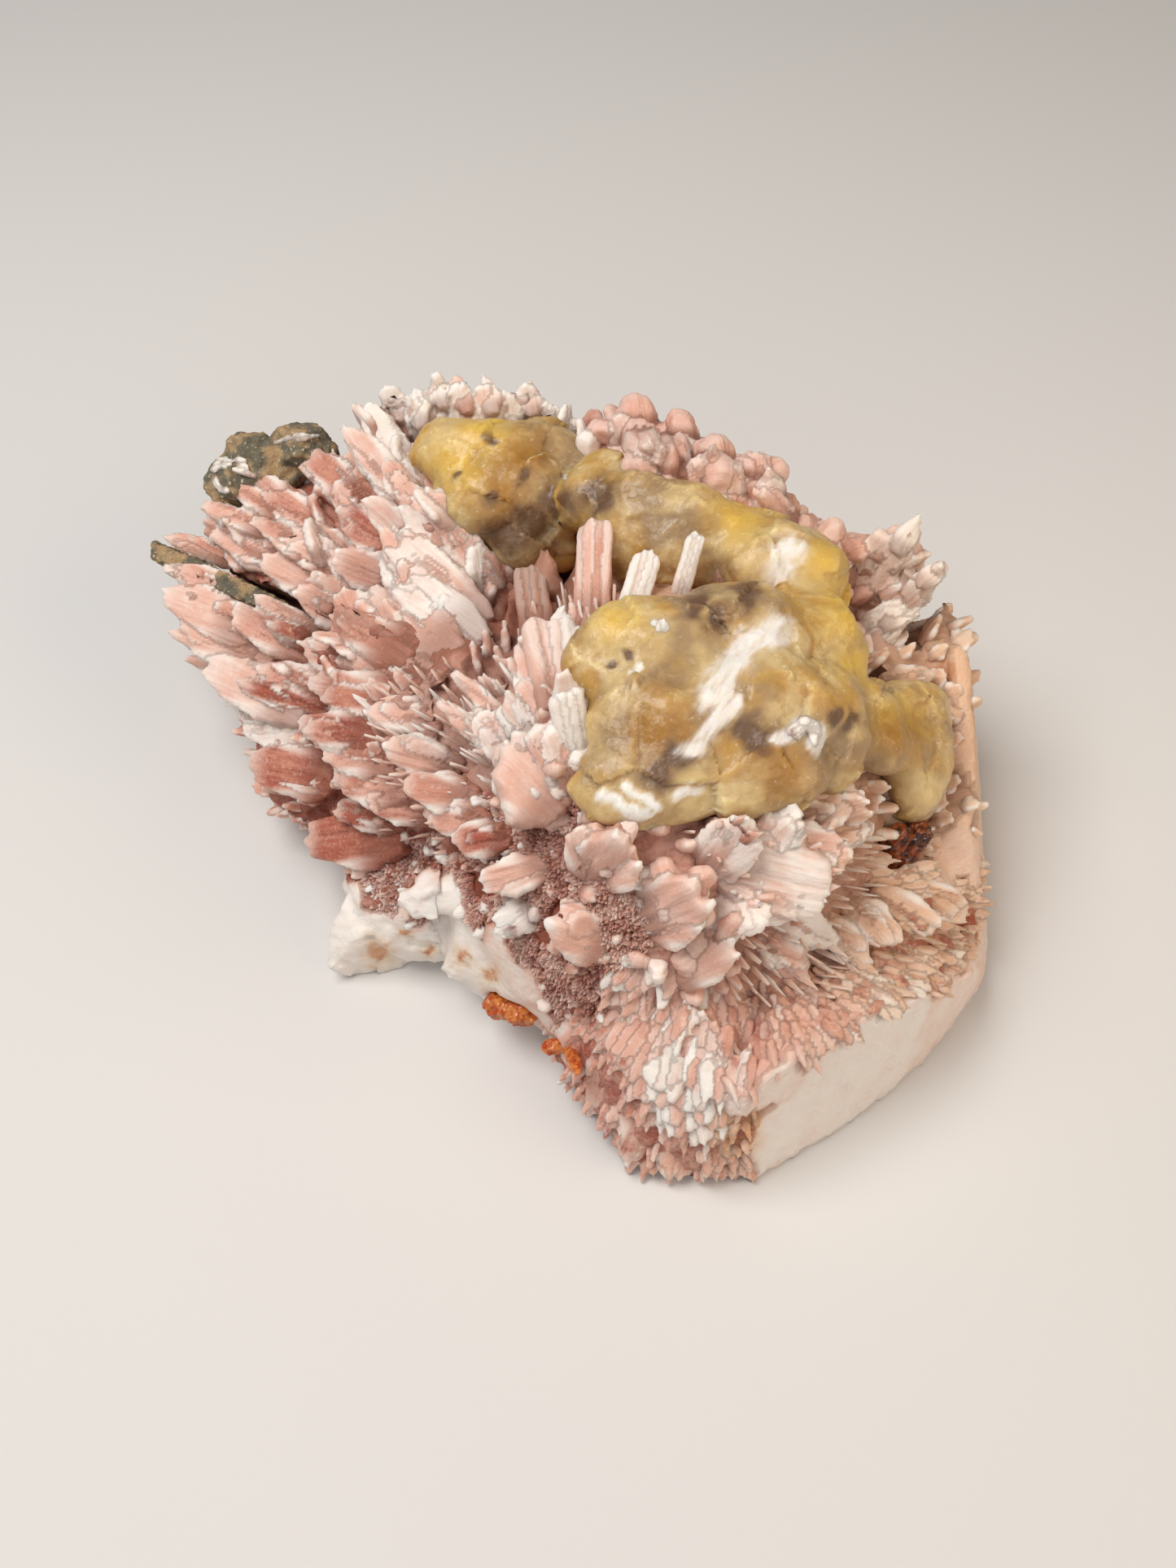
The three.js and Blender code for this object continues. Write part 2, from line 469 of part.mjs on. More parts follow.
function buildSpecimen() {
  const rockLump = (grow) => joinAll(rockPads.map((entry) => pad(entry, grow, 0)));
  const pits = joinAll(hollows.map((entry) => pad(entry, 0, 1)));
  const host = buildMordenite(clearance).add(pits);
  const stilbite = (pads) => largestBody(joinAll(pads.map((entry) => pad(entry, 0, 0))).subtract(host));
  const besideMiddle = (pads) => largestBody(
    stilbite(pads).subtract(joinAll(middleStilbitePads.map((entry) => pad(entry, clearance, 0)))),
  );
  const aroundRidge = joinAll(ridgeStilbitePads.map((entry) => pad(entry, clearance, 0)));
  const guests = [
    rockLump,
    seamSolid,
    (grow) => joinAll(lowerCrystals.map((entry) => pad(entry, grow, 0))),
    (grow) => prisms(sliverCrystals, grow, seeds.sliver),
    (grow) => prisms(pocketCrystals, grow, seeds.pocket),
  ];

  const mordenite = guests.reduce((body, guest) => body.subtract(guest(clearance)), buildMordenite(0))
    .subtract(pits).subtract(belowTable);
  const [rock, seam, lower, sliver, pocket] = guests.map((guest) => guest(0));

  const pieces = [
    ['mordenite', mordenite, colours.mordenite, 0.75],
    ['stilbite_main', largestBody(stilbite(mainStilbitePads).subtract(aroundRidge)), colours.stilbite, 0.35],
    ['stilbite_ridge', besideMiddle(ridgeStilbitePads), colours.stilbite, 0.35],
    ['stilbite_middle', stilbite(middleStilbitePads), colours.stilbite, 0.35],
    ['stilbite_upper', besideMiddle(upperStilbitePads), colours.stilbite, 0.35],
    ['stilbite_right', stilbite(rightStilbitePads), colours.stilbite, 0.35],
    ['host_rock_lump', rock, colours.rock, 0.9],
    ['host_rock_seam', seam.subtract(rockLump(clearance)), colours.rock, 0.9],
    ['orange_crystals_lower', lower, colours.orangeCrystal, 0.4],
    ['orange_crystal_sliver', sliver, colours.orangeCrystal, 0.4],
    ['dark_crystals_pocket', pocket, colours.darkCrystal, 0.35],
  ];

  const specimen = new THREE.Group();
  for (const [name, solid, colour, roughness] of pieces) {
    const material = new THREE.MeshStandardMaterial({ color: colour, roughness, metalness: 0 });
    const mesh = new THREE.Mesh(toGeometry(solid), material);
    mesh.name = name;
    specimen.add(mesh);
  }
  const box = new THREE.Box3().setFromObject(specimen);
  const middle = box.getCenter(new THREE.Vector3());
  specimen.position.set(-middle.x, -middle.y, -box.min.z);
  return specimen;
}

export default buildSpecimen();
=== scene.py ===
import math
import bmesh
import bpy
import numpy as np
from mathutils import Matrix, Vector
from mathutils.bvhtree import BVHTree
from mathutils.kdtree import KDTree


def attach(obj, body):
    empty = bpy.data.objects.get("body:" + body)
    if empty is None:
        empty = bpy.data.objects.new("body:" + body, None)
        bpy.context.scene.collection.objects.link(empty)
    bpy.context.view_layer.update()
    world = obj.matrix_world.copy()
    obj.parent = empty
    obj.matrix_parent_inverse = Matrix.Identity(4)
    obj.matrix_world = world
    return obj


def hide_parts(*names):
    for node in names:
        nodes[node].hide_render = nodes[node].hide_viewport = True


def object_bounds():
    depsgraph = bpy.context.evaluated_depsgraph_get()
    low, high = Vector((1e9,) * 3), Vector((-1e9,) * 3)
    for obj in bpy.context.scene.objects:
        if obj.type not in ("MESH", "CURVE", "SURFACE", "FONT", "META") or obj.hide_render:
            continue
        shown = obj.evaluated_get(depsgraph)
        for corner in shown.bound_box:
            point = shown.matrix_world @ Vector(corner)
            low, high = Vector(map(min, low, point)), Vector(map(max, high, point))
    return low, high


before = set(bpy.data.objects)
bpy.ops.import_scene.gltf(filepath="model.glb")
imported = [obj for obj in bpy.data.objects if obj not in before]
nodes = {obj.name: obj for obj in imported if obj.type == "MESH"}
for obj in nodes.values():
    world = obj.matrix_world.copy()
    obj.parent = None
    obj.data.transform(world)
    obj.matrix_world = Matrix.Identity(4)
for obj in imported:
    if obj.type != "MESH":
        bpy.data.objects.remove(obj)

# A mordenite cluster with honey-yellow stilbite. Lengths are in mm until a mesh is made, then in metres.
# The table frame has its origin under the picture's middle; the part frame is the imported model's.

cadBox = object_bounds()
mm = 0.001
shift = np.array([2.635, -9.046, 0.0])  # from the table frame to the part frame
boxLow = np.array(cadBox[0]) / mm
boxHigh = np.array(cadBox[1]) / mm
print("frame loaded, box in mm", boxLow.round(1), boxHigh.round(1))


def makeDice(seed):
    return np.random.default_rng(seed)

# Sight lines: (u, v) is how far right and up of the middle a point is seen, in mm

sight = {
    "distance": 170.0,
    "pivot": np.array([0.0, 0.0, 24.0]),
    "elevation": math.radians(55),
}
across = np.array([1.0, 0.0, 0.0])
upView = np.array([0.0, math.sin(sight["elevation"]), math.cos(sight["elevation"])])
towardEye = np.array([0.0, -math.cos(sight["elevation"]), math.sin(sight["elevation"])])
eye = sight["pivot"] + towardEye * sight["distance"] + shift
sprayCentre = np.array([0.0, 4.0, 4.0]) + shift  # the blades point away from this point, low inside


def unit(v):
    return v / np.maximum(np.linalg.norm(v, axis=-1, keepdims=True), 1e-9)


def treeOf(*names):
    verts = []
    faces = []
    for name in names:
        mesh = nodes[name].data
        start = len(verts)
        verts += [v.co / mm for v in mesh.vertices]
        faces += [[start + i for i in p.vertices] for p in mesh.polygons]
    return BVHTree.FromPolygons(verts, faces)


bodyTree = treeOf("mordenite")
stilbiteNames = ["stilbite_main", "stilbite_ridge", "stilbite_middle", "stilbite_upper", "stilbite_right"]
stilbiteTree = treeOf(*stilbiteNames)
seamTree = treeOf("host_rock_seam")


def onSurface(u, v, tree=bodyTree):
    seen = sight["pivot"] + shift + across * u + upView * v
    way = unit(seen - eye)
    hit = tree.ray_cast(Vector(eye), Vector(way))
    if hit[0] is not None:
        return np.array(hit[0])
    near = tree.find_nearest(Vector(eye + way * sight["distance"]))
    return np.array(near[0])


def seenAt(points):
    offset = points - sight["pivot"] - shift
    scale = sight["distance"] / (sight["distance"] - offset @ towardEye)
    return (offset @ across) * scale, (offset @ upView) * scale


def eased(values, low, high):
    share = np.clip((values - low) / (high - low), 0, 1)
    return share * share * (3 - 2 * share)


# Smooth value noise made of a few turned sine waves, -1 to 1, with a wavelength in mm

def waves(points, wavelength, seed, count=9):
    dice = makeDice(seed)
    ways = unit(dice.normal(size=(count, 3)))
    sizes = (2 * math.pi / wavelength) * dice.uniform(0.6, 1.7, count)
    starts = dice.uniform(0, 2 * math.pi, count)
    return np.sin(points @ (ways * sizes[:, None]).T + starts).sum(axis=1) / math.sqrt(count * 2.0)


# Blade and knob places, as in the part: tip u, v, root u, v, width, stand-off

coreLobes = np.array([
    [8, 2, 13, 27, 26, 30], [10, -19, 6, 14, 13, 14], [29, -8, 8, 13, 13, 14], [31, 11, 12, 11, 17, 18],
    [10, 30, 21, 16, 15, 20], [21, 24, 18, 12, 13, 18], [-12, 35, 19, 15, 16, 20], [-22, 36, 18, 12, 13, 17],
    [-31, 37, 20, 13, 10, 11], [-31, 31, 16, 15, 12, 12], [-36, 26, 15, 11, 9, 9], [-25, 16, 11, 16, 14, 13],
    [-13, 9, 16, 15, 15, 20], [-17, -2, 7, 11, 9, 10], [-5, -9, 8, 12, 9, 14],
], float)

blades = [
    [-30, 35.5, -25, 31.5, 3.2, 3.4], [-42, 30, -34, 28, 2, 3], [-39.5, 33, -33, 29.5, 2, 3],
    [-44.8, 23.2, -37, 21, 2.8, 4], [-43, 15.8, -35, 14.5, 3.6, 3], [-40.5, 27, -33, 24.2, 3.2, 3.4],
    [-35, 31.5, -28.5, 28, 3, 3.6], [-35.5, 24.5, -28, 21.5, 3.4, 4], [-38.8, 18.6, -31, 15, 3.8, 3.4],
    [-27.7, 24.5, -20, 22.5, 3.8, 5], [-31.8, 21.2, -24.5, 18, 3.8, 4], [-33, 27, -26, 23.5, 3.2, 4],
    [-27.5, 29.8, -20.5, 25.8, 3.4, 4.5], [-26.5, 14, -18, 10.5, 3.8, 4], [-24.5, 17.6, -17, 13.4, 3.4, 4.4],
    [-30, 11.3, -21, 9.5, 3.6, 4], [-24.5, 8.6, -16.5, 7.5, 3.2, 4], [-38.2, 7.4, -30.5, 7, 3.4, 3.5],
    [-28, -2.8, -21, -3.5, 3, 3.5], [-22.5, 4.2, -14.5, 2.5, 3.2, 4], [-20.5, 0, -12.5, -1.2, 3.2, 3.5],
    [-18, -3.4, -11, -4, 3.2, 3.5], [-15, -6.2, -8.5, -5.5, 3, 3.5], [-35.6, 12.5, -29, 10.5, 3.2, 3.5],
    [-26.6, 39.2, -19.5, 31, 2.8, 4], [-24.1, 41, -19.5, 34, 3.2, 4], [-21.7, 42.7, -18.8, 36.6, 3, 4],
    [-19.3, 42, -17.4, 37.4, 2.2, 3.6], [-16.4, 43.9, -15.2, 38.6, 3, 4], [-13.8, 43.4, -13, 38.6, 2.8, 4],
    [-11.3, 43, -10.8, 38.6, 2.8, 4], [-8.8, 42.8, -8.6, 38.6, 2.4, 4], [-6.6, 42.7, -6.6, 38.4, 3, 4],
    [-4, 41.1, -4.2, 37.6, 3, 4], [-1.4, 39.4, -2, 36, 2.8, 4], [-19.2, 36.8, -16.3, 29.2, 2.2, 6],
    [-17, 32.4, -13.5, 27.5, 2, 5], [-23.6, 37, -17.8, 30.4, 3, 5], [-21.5, 33.6, -16.5, 28.5, 2.4, 5],
    [-20.8, 29.7, -11, 20.5, 4.2, 5.4], [-21.8, 27, -11.5, 18.5, 4.2, 5], [-22.8, 23.8, -12, 16.5, 4.2, 5],
    [-17.6, 31, -10, 22.5, 3, 5], [-15, 12.5, -8, 6.5, 1.6, 3.4], [-16.5, 9, -9.5, 4.4, 1.8, 3.4],
    [-9.2, 10, -5.5, 5, 2, 5], [-7.6, 15.6, -5, 9, 2.2, 5], [-6.4, 23.6, -5.2, 14, 3.2, 6],
    [0.8, 28.9, 0.4, 17.5, 3.4, 7], [6.6, 25.3, 4.2, 18, 2.6, 7], [11.8, 27.3, 10, 20.5, 1.8, 7],
    [-4.3, 18.1, -2.8, 8.5, 5, 6], [-2.7, 10.7, -0.8, 1.5, 3, 5.5], [8, 18, 6, 10, 1.8, 7.5],
    [29.5, 26.9, 26.3, 23.5, 2.4, 5], [38, 23.7, 34.6, 19, 2.2, 6], [37.5, 11.8, 33, 12, 2.2, 4],
    [29.8, -0.8, 23.5, -3.5, 3.4, 4], [29.6, 2.2, 24, 1, 3, 4], [31, -4.2, 25, -5.8, 3, 3.5],
    [26.6, -11.8, 15.5, -8, 7.5, 6.5], [28, -7.6, 20, -6, 4.2, 4], [17, -4, 14, -9.5, 4.4, 5],
    [22.5, -2.6, 19, -7.5, 4, 4.5], [19, -14.6, 15, -12.5, 4.2, 4.5], [27, -17.5, 21, -13, 3, 3.5],
    [24, -21, 19, -16.5, 3.2, 3.5], [41.4, -14.5, 35.5, -10.5, 3, 3], [38, -16, 32, -11.5, 3, 3.4],
    [34, -17.5, 29, -12.5, 3, 3.2], [30.5, -19.8, 26.5, -14.5, 2.6, 3], [-12, -10.8, -4.5, -8.8, 3.2, 4],
]

knobs = [
    [-46, 20.5, -37, 17.5, 4.8, 4], [-28.3, 19.3, -19.5, 15, 4.6, 5], [-41.2, 12.8, -31.5, 8.5, 5, 4],
    [-32, 6.2, -24, 6, 4, 4.6], [-36.8, 2.3, -28.5, 1.2, 4.8, 4.4], [-28.5, 1, -20, 0.4, 4.4, 4.8],
    [-30.3, -6.2, -21, -5.2, 5.4, 4.2], [-12.8, 8, -8.5, 3, 3.2, 4], [-9.8, 4.6, -3, -2.5, 7, 5],
    [-5.5, 6.5, -1.5, 0, 4.5, 4.5], [33.3, 28, 30, 19.5, 5.5, 6.5], [35.4, 27, 33.3, 21.5, 4.2, 5],
    [35.2, 19.2, 30.5, 17, 3.2, 5], [4.2, -4.6, 0.5, -9.5, 4.8, 4.5], [-1.5, -5, 1, -10, 3.2, 4],
    [13.8, -10.5, 6.5, -14.5, 5.2, 4.5], [15.8, -17, 9.5, -21, 4.5, 4], [-21, -11.2, -14, -13, 6, 3],
    [-15.2, -21.3, -13.5, -16, 4.6, 3], [-10, -16.3, -6.5, -13.5, 3.2, 4], [-4.3, -14.6, 2, -17.5, 4.8, 4],
    [-8.2, -25.6, -7, -18.5, 6, 3], [-3.6, -30.4, 1, -26, 3.6, 3], [0.2, -35, 3, -29.5, 3.4, 3],
    [4.2, -41, 7, -35.5, 3.8, 3], [9.5, -43.2, 10, -37.5, 4, 3],
]

# rounded lobes of the pink cluster at the back: tip u, v, root u, v, width
lobes = [
    [5.2, 41.3, 5.6, 37, 4.6], [3, 39.4, 4.2, 36, 3], [8, 40.2, 7.8, 36.6, 3.4],
    [10.4, 39.2, 9.8, 35.6, 2.8], [6, 36.2, 6.8, 33, 3.6], [9, 36, 9.4, 32.4, 3.8],
    [13.2, 37.2, 12.8, 33.6, 1.8], [11.6, 34.8, 11.8, 31.6, 3.2], [15.2, 33.8, 15, 30, 3.4],
    [18.2, 35.3, 18, 31.4, 4.2], [21, 34, 20.2, 30.4, 3.4], [19.4, 31.6, 19, 28, 3.4],
    [22.8, 30.6, 21.8, 27.6, 3.2], [24.8, 29, 23.8, 26.4, 2.4],
]

# More blades of the left spray, behind and under the others
moreBlades = [
    [-39.4, 9.4, -31.5, 8.2, 4, 3.2], [-37.2, 6, -30, 6.4, 3.6, 3], [-37.8, 11.2, -29, 8.6, 2.4, 4.6],
    [-45.4, 17.6, -37, 14.6, 4.2, 3.2], [-26.2, 15.6, -18.5, 12, 4.2, 4.8], [-41, 21, -33.5, 18, 2.6, 3.4],
    [-36, 19.2, -30, 16.2, 3, 4.6], [-29, 3.2, -22, 3, 3, 4.2], [-24.5, -1.8, -17, -2.8, 3, 4],
    [-31.5, 15.4, -24, 12.8, 3, 4.2], [-30.5, 22.6, -24, 20.2, 2.6, 4.6], [-36.5, 28.6, -30, 26.2, 2.4, 3.8],
    [-23.5, 20.6, -15, 15, 4.6, 4.6], [-26.6, 33.6, -21, 29, 3.2, 4.4], [-24.4, 31.4, -18.5, 26.4, 2.8, 5],
    [-46.2, 27, -38, 24.6, 2.2, 2.6], [-46, 23.4, -38, 21.2, 1.8, 4.2], [-36.5, 20.6, -29.5, 17.4, 1.6, 5],
    [16, 26.6, 14, 21, 1.4, 6.6], [6.4, -8.4, 1.5, -10.5, 3, 4], [12.5, -14.6, 6.5, -16, 3.6, 4],
    [-7.6, 12.6, -4.5, 6.5, 2.6, 4.4], [-11.6, 8, -9, 2.6, 3.4, 4.4], [-8.4, 5.4, -6, -3, 4.2, 4.8],
]

# How white, brick-red and warm some single blades are, and their painted shade, by their tip
tipColours = {
    (-41.2, 12.8): (1, 0, 0.15, 0), (-39.4, 9.4): (1, 0, 0.15, 0), (-37.2, 6): (1, 0, 0.15, 0),
    (-37.8, 11.2): (0.3, 1, 0, 0), (-38.2, 7.4): (0.3, 0.95, 0, 0), (-32, 6.2): (0.35, 1, 0.2, 0),
    (-36.8, 2.3): (0.45, 0.7, 0.1, 0), (-30.3, -6.2): (0.25, 1, 0, 0.2), (-46, 20.5): (0.65, 0.1, 0.15, 0),
    (-45.4, 17.6): (0.8, 0.05, 0.2, 0), (-28.3, 19.3): (0.4, 0.2, 0.1, 0.1),
    (-26.2, 15.6): (0.35, 0.35, 0.1, 0.2), (-41, 21): (0.3, 0.8, 0, 0.1), (-36, 19.2): (0.3, 0.8, 0, 0.1),
    (-35.6, 12.5): (0.5, 0.6, 0, 0), (-28.5, 1): (0.45, 0.5, 0.1, 0), (-4.3, 18.1): (0.85, 0, 0, 0),
    (-2.7, 10.7): (1.2, 0, 0, 0), (-9.8, 4.6): (0.95, 0.1, 0, 0), (6.6, 25.3): (1.25, 0, 0, 0),
    (11.8, 27.3): (1.25, 0, 0, 0), (8, 18): (1.25, 0, 0, 0), (0.8, 28.9): (0.6, 0, 0, 0),
    (26.6, -11.8): (0.95, 0, 0.15, 0), (28, -7.6): (0.8, 0, 0.2, 0), (-30, 35.5): (0.35, 0.8, 0, 0),
    (-27.5, 29.8): (0.35, 0.75, 0, 0), (-19.2, 36.8): (0.3, 0.2, 0, 0), (-12, -10.8): (0.8, 0.15, 0, 0),
    (-10, -16.3): (1, 0, 0, 0), (-4.3, -14.6): (0.8, 0.25, 0, 0), (-1.5, -5): (0.75, 0.15, 0, 0),
    (-21, -11.2): (1, 0, 0.1, 0), (-5.5, 6.5): (0.8, 0.05, 0, 0), (17, -4): (0.9, 0, 0, 0),
    (22.5, -2.6): (0.85, 0, 0.1, 0), (19, -14.6): (0.85, 0, 0, 0), (13.8, -10.5): (0.8, 0.1, 0, 0),
    (4.2, -4.6): (0.75, 0.1, 0, 0), (27, -17.5): (0.95, 0, 0.1, 0), (24, -21): (0.9, 0, 0, 0),
    (-12.8, 8): (0.7, 0.1, 0, 0), (-8.4, 5.4): (0.75, 0.1, 0, 0), (-20.8, 29.7): (0.9, 0, 0.1, 0),
    (-21.8, 27): (0.95, 0, 0, 0), (-22.8, 23.8): (0.85, 0.05, 0, 0),
}


def offCore(u, v, standOff):
    way = unit(sight["pivot"] + across * u + upView * v - (eye - shift))
    start = eye - shift
    radii = coreLobes[:, 3:]
    begin = (start - coreLobes[:, :3]) / radii
    along = way / radii
    a = (along ** 2).sum(1)
    b = (begin * along).sum(1)
    miss = (begin ** 2).sum(1) - 1 - b ** 2 / a
    hits = miss <= 0
    if hits.any():
        distance = ((-b[hits] - np.sqrt(-miss[hits] * a[hits])) / a[hits]).min()
    else:
        least = np.argmin(miss * radii.min(1))
        distance = -b[least] / a[least]
    return start + way * (distance - standOff) + shift


# Zones: what grows on the surface and its colours, around a place seen at u, v
# kind, blade length, blade width, how white, how brick-red, how warm (orange or cream), brown painted shade

zones = [
    [-42, 29, "spray", 5, 1.8, 0.6, 0.25, 0.1, 0], [-38, 27, "spray", 4.5, 2, 0.5, 0.4, 0.1, 0.1],
    [-33, 30, "spray", 4.5, 2.2, 0.45, 0.5, 0, 0], [-28, 33, "spray", 4.5, 2.2, 0.35, 0.5, 0, 0],
    [-31, 25, "spray", 5, 2.2, 0.6, 0.15, 0.1, 0.1], [-44, 20, "spray", 4, 3, 0.7, 0.1, 0.1, 0],
    [-38, 18, "spray", 4, 2.4, 0.6, 0.5, 0, 0], [-40, 12, "spray", 2.2, 1.3, 0.95, 0.2, 0.1, 0],
    [-34, 14, "spray", 3, 2.2, 0.6, 0.45, 0, 0.1], [-33, 9, "spray", 2.6, 1.8, 0.55, 0.75, 0, 0],
    [-27, 19, "spray", 5, 3, 0.5, 0.1, 0.1, 0], [-22, 13, "spray", 5, 2.2, 0.45, 0.3, 0.1, 0.25],
    [-22, 24, "spray", 6, 2.6, 0.8, 0.05, 0, 0], [-28, 7, "spray", 2.6, 1.3, 0.3, 0.85, 0, 0],
    [-33, 2, "spray", 2.6, 1.3, 0.45, 0.6, 0, 0], [-26, -6, "spray", 2.6, 1.3, 0.25, 0.95, 0, 0.2],
    [-25, 0, "spray", 2.6, 1.2, 0.4, 0.6, 0, 0.1], [-18, 8, "fine", 5, 0.8, 0.8, 0.08, 0, 0.1],
    [-13, 6, "fine", 5, 0.8, 0.85, 0.05, 0, 0.1], [-19, -3, "fine", 4.5, 0.9, 0.5, 0.3, 0, 0.1],
    [-20, 40, "spray", 4, 2, 1, 0.02, 0.2, 0], [-12, 41, "spray", 4, 2, 1, 0.02, 0.2, 0],
    [-4, 39, "spray", 4, 2, 1, 0.02, 0.2, 0], [-16, 27, "spray", 6, 2.6, 0.85, 0, 0.1, 0],
    [-13, 20, "spray", 6, 3, 0.95, 0, 0, 0.1], [-9, 14, "spray", 5, 1.8, 0.6, 0.1, 0.1, 0.4],
    [-6, 26, "bare", 3, 0.9, 0.3, 0.05, 0.4, 0.75], [-4, 23, "bare", 3, 0.9, 0.35, 0.05, 0.4, 0.7],
    [-4, 15, "spray", 5, 2.4, 0.9, 0.1, 0, 0], [-16.5, 14.8, "bare", 1, 1, 0.2, 0.3, 0.2, 0.9],
    [-9.7, 17.4, "bare", 1, 1, 0.2, 0.1, 0.2, 0.9], [-0.5, 19, "fine", 4, 1, 0.55, 0, 0.2, 0.3],
    [-6, 0, "knob", 2, 2, 0.9, 0.15, 0, 0], [-21.5, -8.6, "druse", 1, 1, 0.6, 0.6, 0, 0],
    [-17.5, -8.8, "druse", 1, 1, 0.5, 0.7, 0, 0.1], [-13, -9, "druse", 1, 1, 0.2, 0.9, 0, 0.3],
    [-3, -7, "druse", 1, 1, 0.2, 0.95, 0, 0.4], [-6, -15, "druse", 1, 1, 0.15, 0.95, 0, 0.5],
    [-2, -23, "druse", 1, 1, 0.2, 0.9, 0, 0.4], [-9, -11, "druse", 1, 1, 0.3, 0.8, 0, 0.3],
    [-18, -13, "bare", 1, 1, 1.15, 0, 0.1, 0], [-25, -16, "bare", 1, 1, 1.15, 0, 0.2, 0],
    [-15, -19, "bare", 1, 1, 1.15, 0.05, 0.2, 0], [-8, -21, "bare", 1, 1, 1, 0.1, 0.3, 0],
    [3, -6, "knob", 2, 1.8, 0.7, 0.2, 0, 0], [10, -12, "knob", 2, 1.8, 0.7, 0.2, 0.1, 0],
    [12, -19, "knob", 2, 1.8, 0.65, 0.2, 0.1, 0], [2, -13, "druse", 1, 1, 0.3, 0.65, 0, 0.3],
    [20, -9, "fine", 4, 1.6, 0.65, 0, 0.2, 0.2], [15, -5, "fine", 4, 1.4, 0.6, 0, 0.2, 0.4],
    [27, -2, "spray", 4, 2.6, 0.7, 0, 0.5, 0.1], [18, -16, "fine", 4, 1.2, 0.6, 0.05, 0.3, 0.3],
    [23, -19, "fine", 4, 1, 0.7, 0.05, 0.4, 0.2], [28, -14, "fine", 4, 0.9, 0.6, 0.2, 0.45, 0.1],
    [34, -14, "comb", 2.2, 0.9, 0.65, 0.5, 0.7, -0.3], [38, -18, "comb", 2.2, 0.9, 0.55, 0.58, 0.72, -0.3],
    [40, -12, "comb", 2.2, 1, 0.6, 0.5, 0.75, -0.3], [30, -21, "comb", 2.2, 0.9, 0.7, 0.42, 0.55, -0.3],
    [24, -25, "comb", 2.2, 1, 0.55, 0.3, 0.3, -0.3], [18, -28, "comb", 2.4, 1, 0.6, 0.3, 0.2, -0.3],
    [6, -25, "comb", 2.4, 1.1, 0.8, 0.3, 0, -0.3], [0, -28, "comb", 2, 1, 0.65, 0.55, 0, -0.2],
    [4, -36, "comb", 2, 1, 0.65, 0.55, 0, -0.2], [12, -30, "comb", 2.4, 1.1, 0.9, 0.2, 0.1, -0.3],
    [11, -35, "comb", 2, 1.2, 1, 0.05, 0, -0.3], [12, -40, "comb", 1.8, 1, 0.6, 0.45, 0.3, -0.3],
    [16, -38, "comb", 1.6, 1, 0.4, 0.2, 0.9, 0], [25, -32, "bare", 1, 1, 1.1, 0, 0.1, 0],
    [33, -27, "bare", 1, 1, 1.1, 0, 0.1, 0], [20, -37, "bare", 1, 1, 1.1, 0, 0.1, 0],
    [29, -29, "bare", 1, 1, 1.1, 0, 0.1, 0], [39, -23, "bare", 1, 1, 1, 0, 0.2, 0],
    [20, -33, "bare", 1, 1, 1, 0, 0.2, 0], [37.6, 9, "spray", 2.6, 1.8, 0.7, 0.1, 0.72, 0],
    [38, 0, "spray", 2.6, 1.8, 0.6, 0.1, 0.75, 0.1], [41.2, 10, "bare", 1, 1, 0.7, 0.02, 0.75, 0],
    [41.5, 2, "bare", 1, 1, 0.7, 0.02, 0.72, 0], [41.3, -9, "bare", 1, 1, 0.9, 0, 0.5, 0],
    [35.5, 16, "spray", 4, 2.2, 0.7, 0.05, 0.78, 0], [37, 3, "spray", 3, 1.8, 0.5, 0.05, 0.8, 0.1],
    [33.5, -2, "spray", 4, 2.4, 0.55, 0.1, 0.6, 0.1], [33, 23, "spray", 4, 2.2, 0.95, 0, 0.4, 0],
    [5, 38, "knob", 2.4, 2.6, 0.55, 0.05, 0.1, 0.25], [10, 36, "knob", 2.4, 2.4, 0.55, 0.05, 0.1, 0.25],
    [14, 32, "knob", 2.4, 2.6, 0.55, 0.1, 0.1, 0.3], [19, 31, "knob", 2.2, 2.4, 0.5, 0.05, 0.2, 0.25],
    [24, 27, "knob", 2, 1.8, 0.5, 0.05, 0.3, 0], [5, 23, "bare", 1, 1, 0.3, 0, 0.6, 0.5],
    [11, 23.5, "bare", 1, 1, 0.3, 0, 0.6, 0.4], [17, 22.5, "bare", 1, 1, 0.3, 0, 0.6, 0.4],
]

# The sides that the picture doesn't show, at x, y, z in the table frame
hiddenZones = [
    [10, 48, 15, "broken", 1, 1, 0.9, 0, 0.3, 0], [-10, 53, 15, "broken", 1, 1, 0.9, 0.05, 0.2, 0],
    [28, 36, 14, "broken", 1, 1, 0.85, 0.05, 0.4, 0], [-22, 48, 15, "broken", 1, 1, 0.8, 0.1, 0.3, 0.1],
    [0, 48, 3, "broken", 1, 1, 0.7, 0.05, 0.5, 0.2], [0, 10, 0, "broken", 1, 1, 0.7, 0.05, 0.5, 0.2],
    [-45, 30, 12, "spray", 4, 2, 0.6, 0.3, 0.1, 0], [-35, 15, 6, "spray", 4, 2, 0.6, 0.4, 0.1, 0],
    [5, 45, 38, "knob", 2, 1.8, 0.45, 0.05, 0.1, 0], [-15, 48, 35, "spray", 4, 2, 0.5, 0.05, 0.1, 0],
    [42, 10, 10, "bare", 1, 1, 0.85, 0, 0.5, 0], [43, -8, 5, "bare", 1, 1, 0.95, 0, 0.3, 0],
    [30, 25, 30, "knob", 2, 1.8, 0.5, 0.05, 0.3, 0],
]

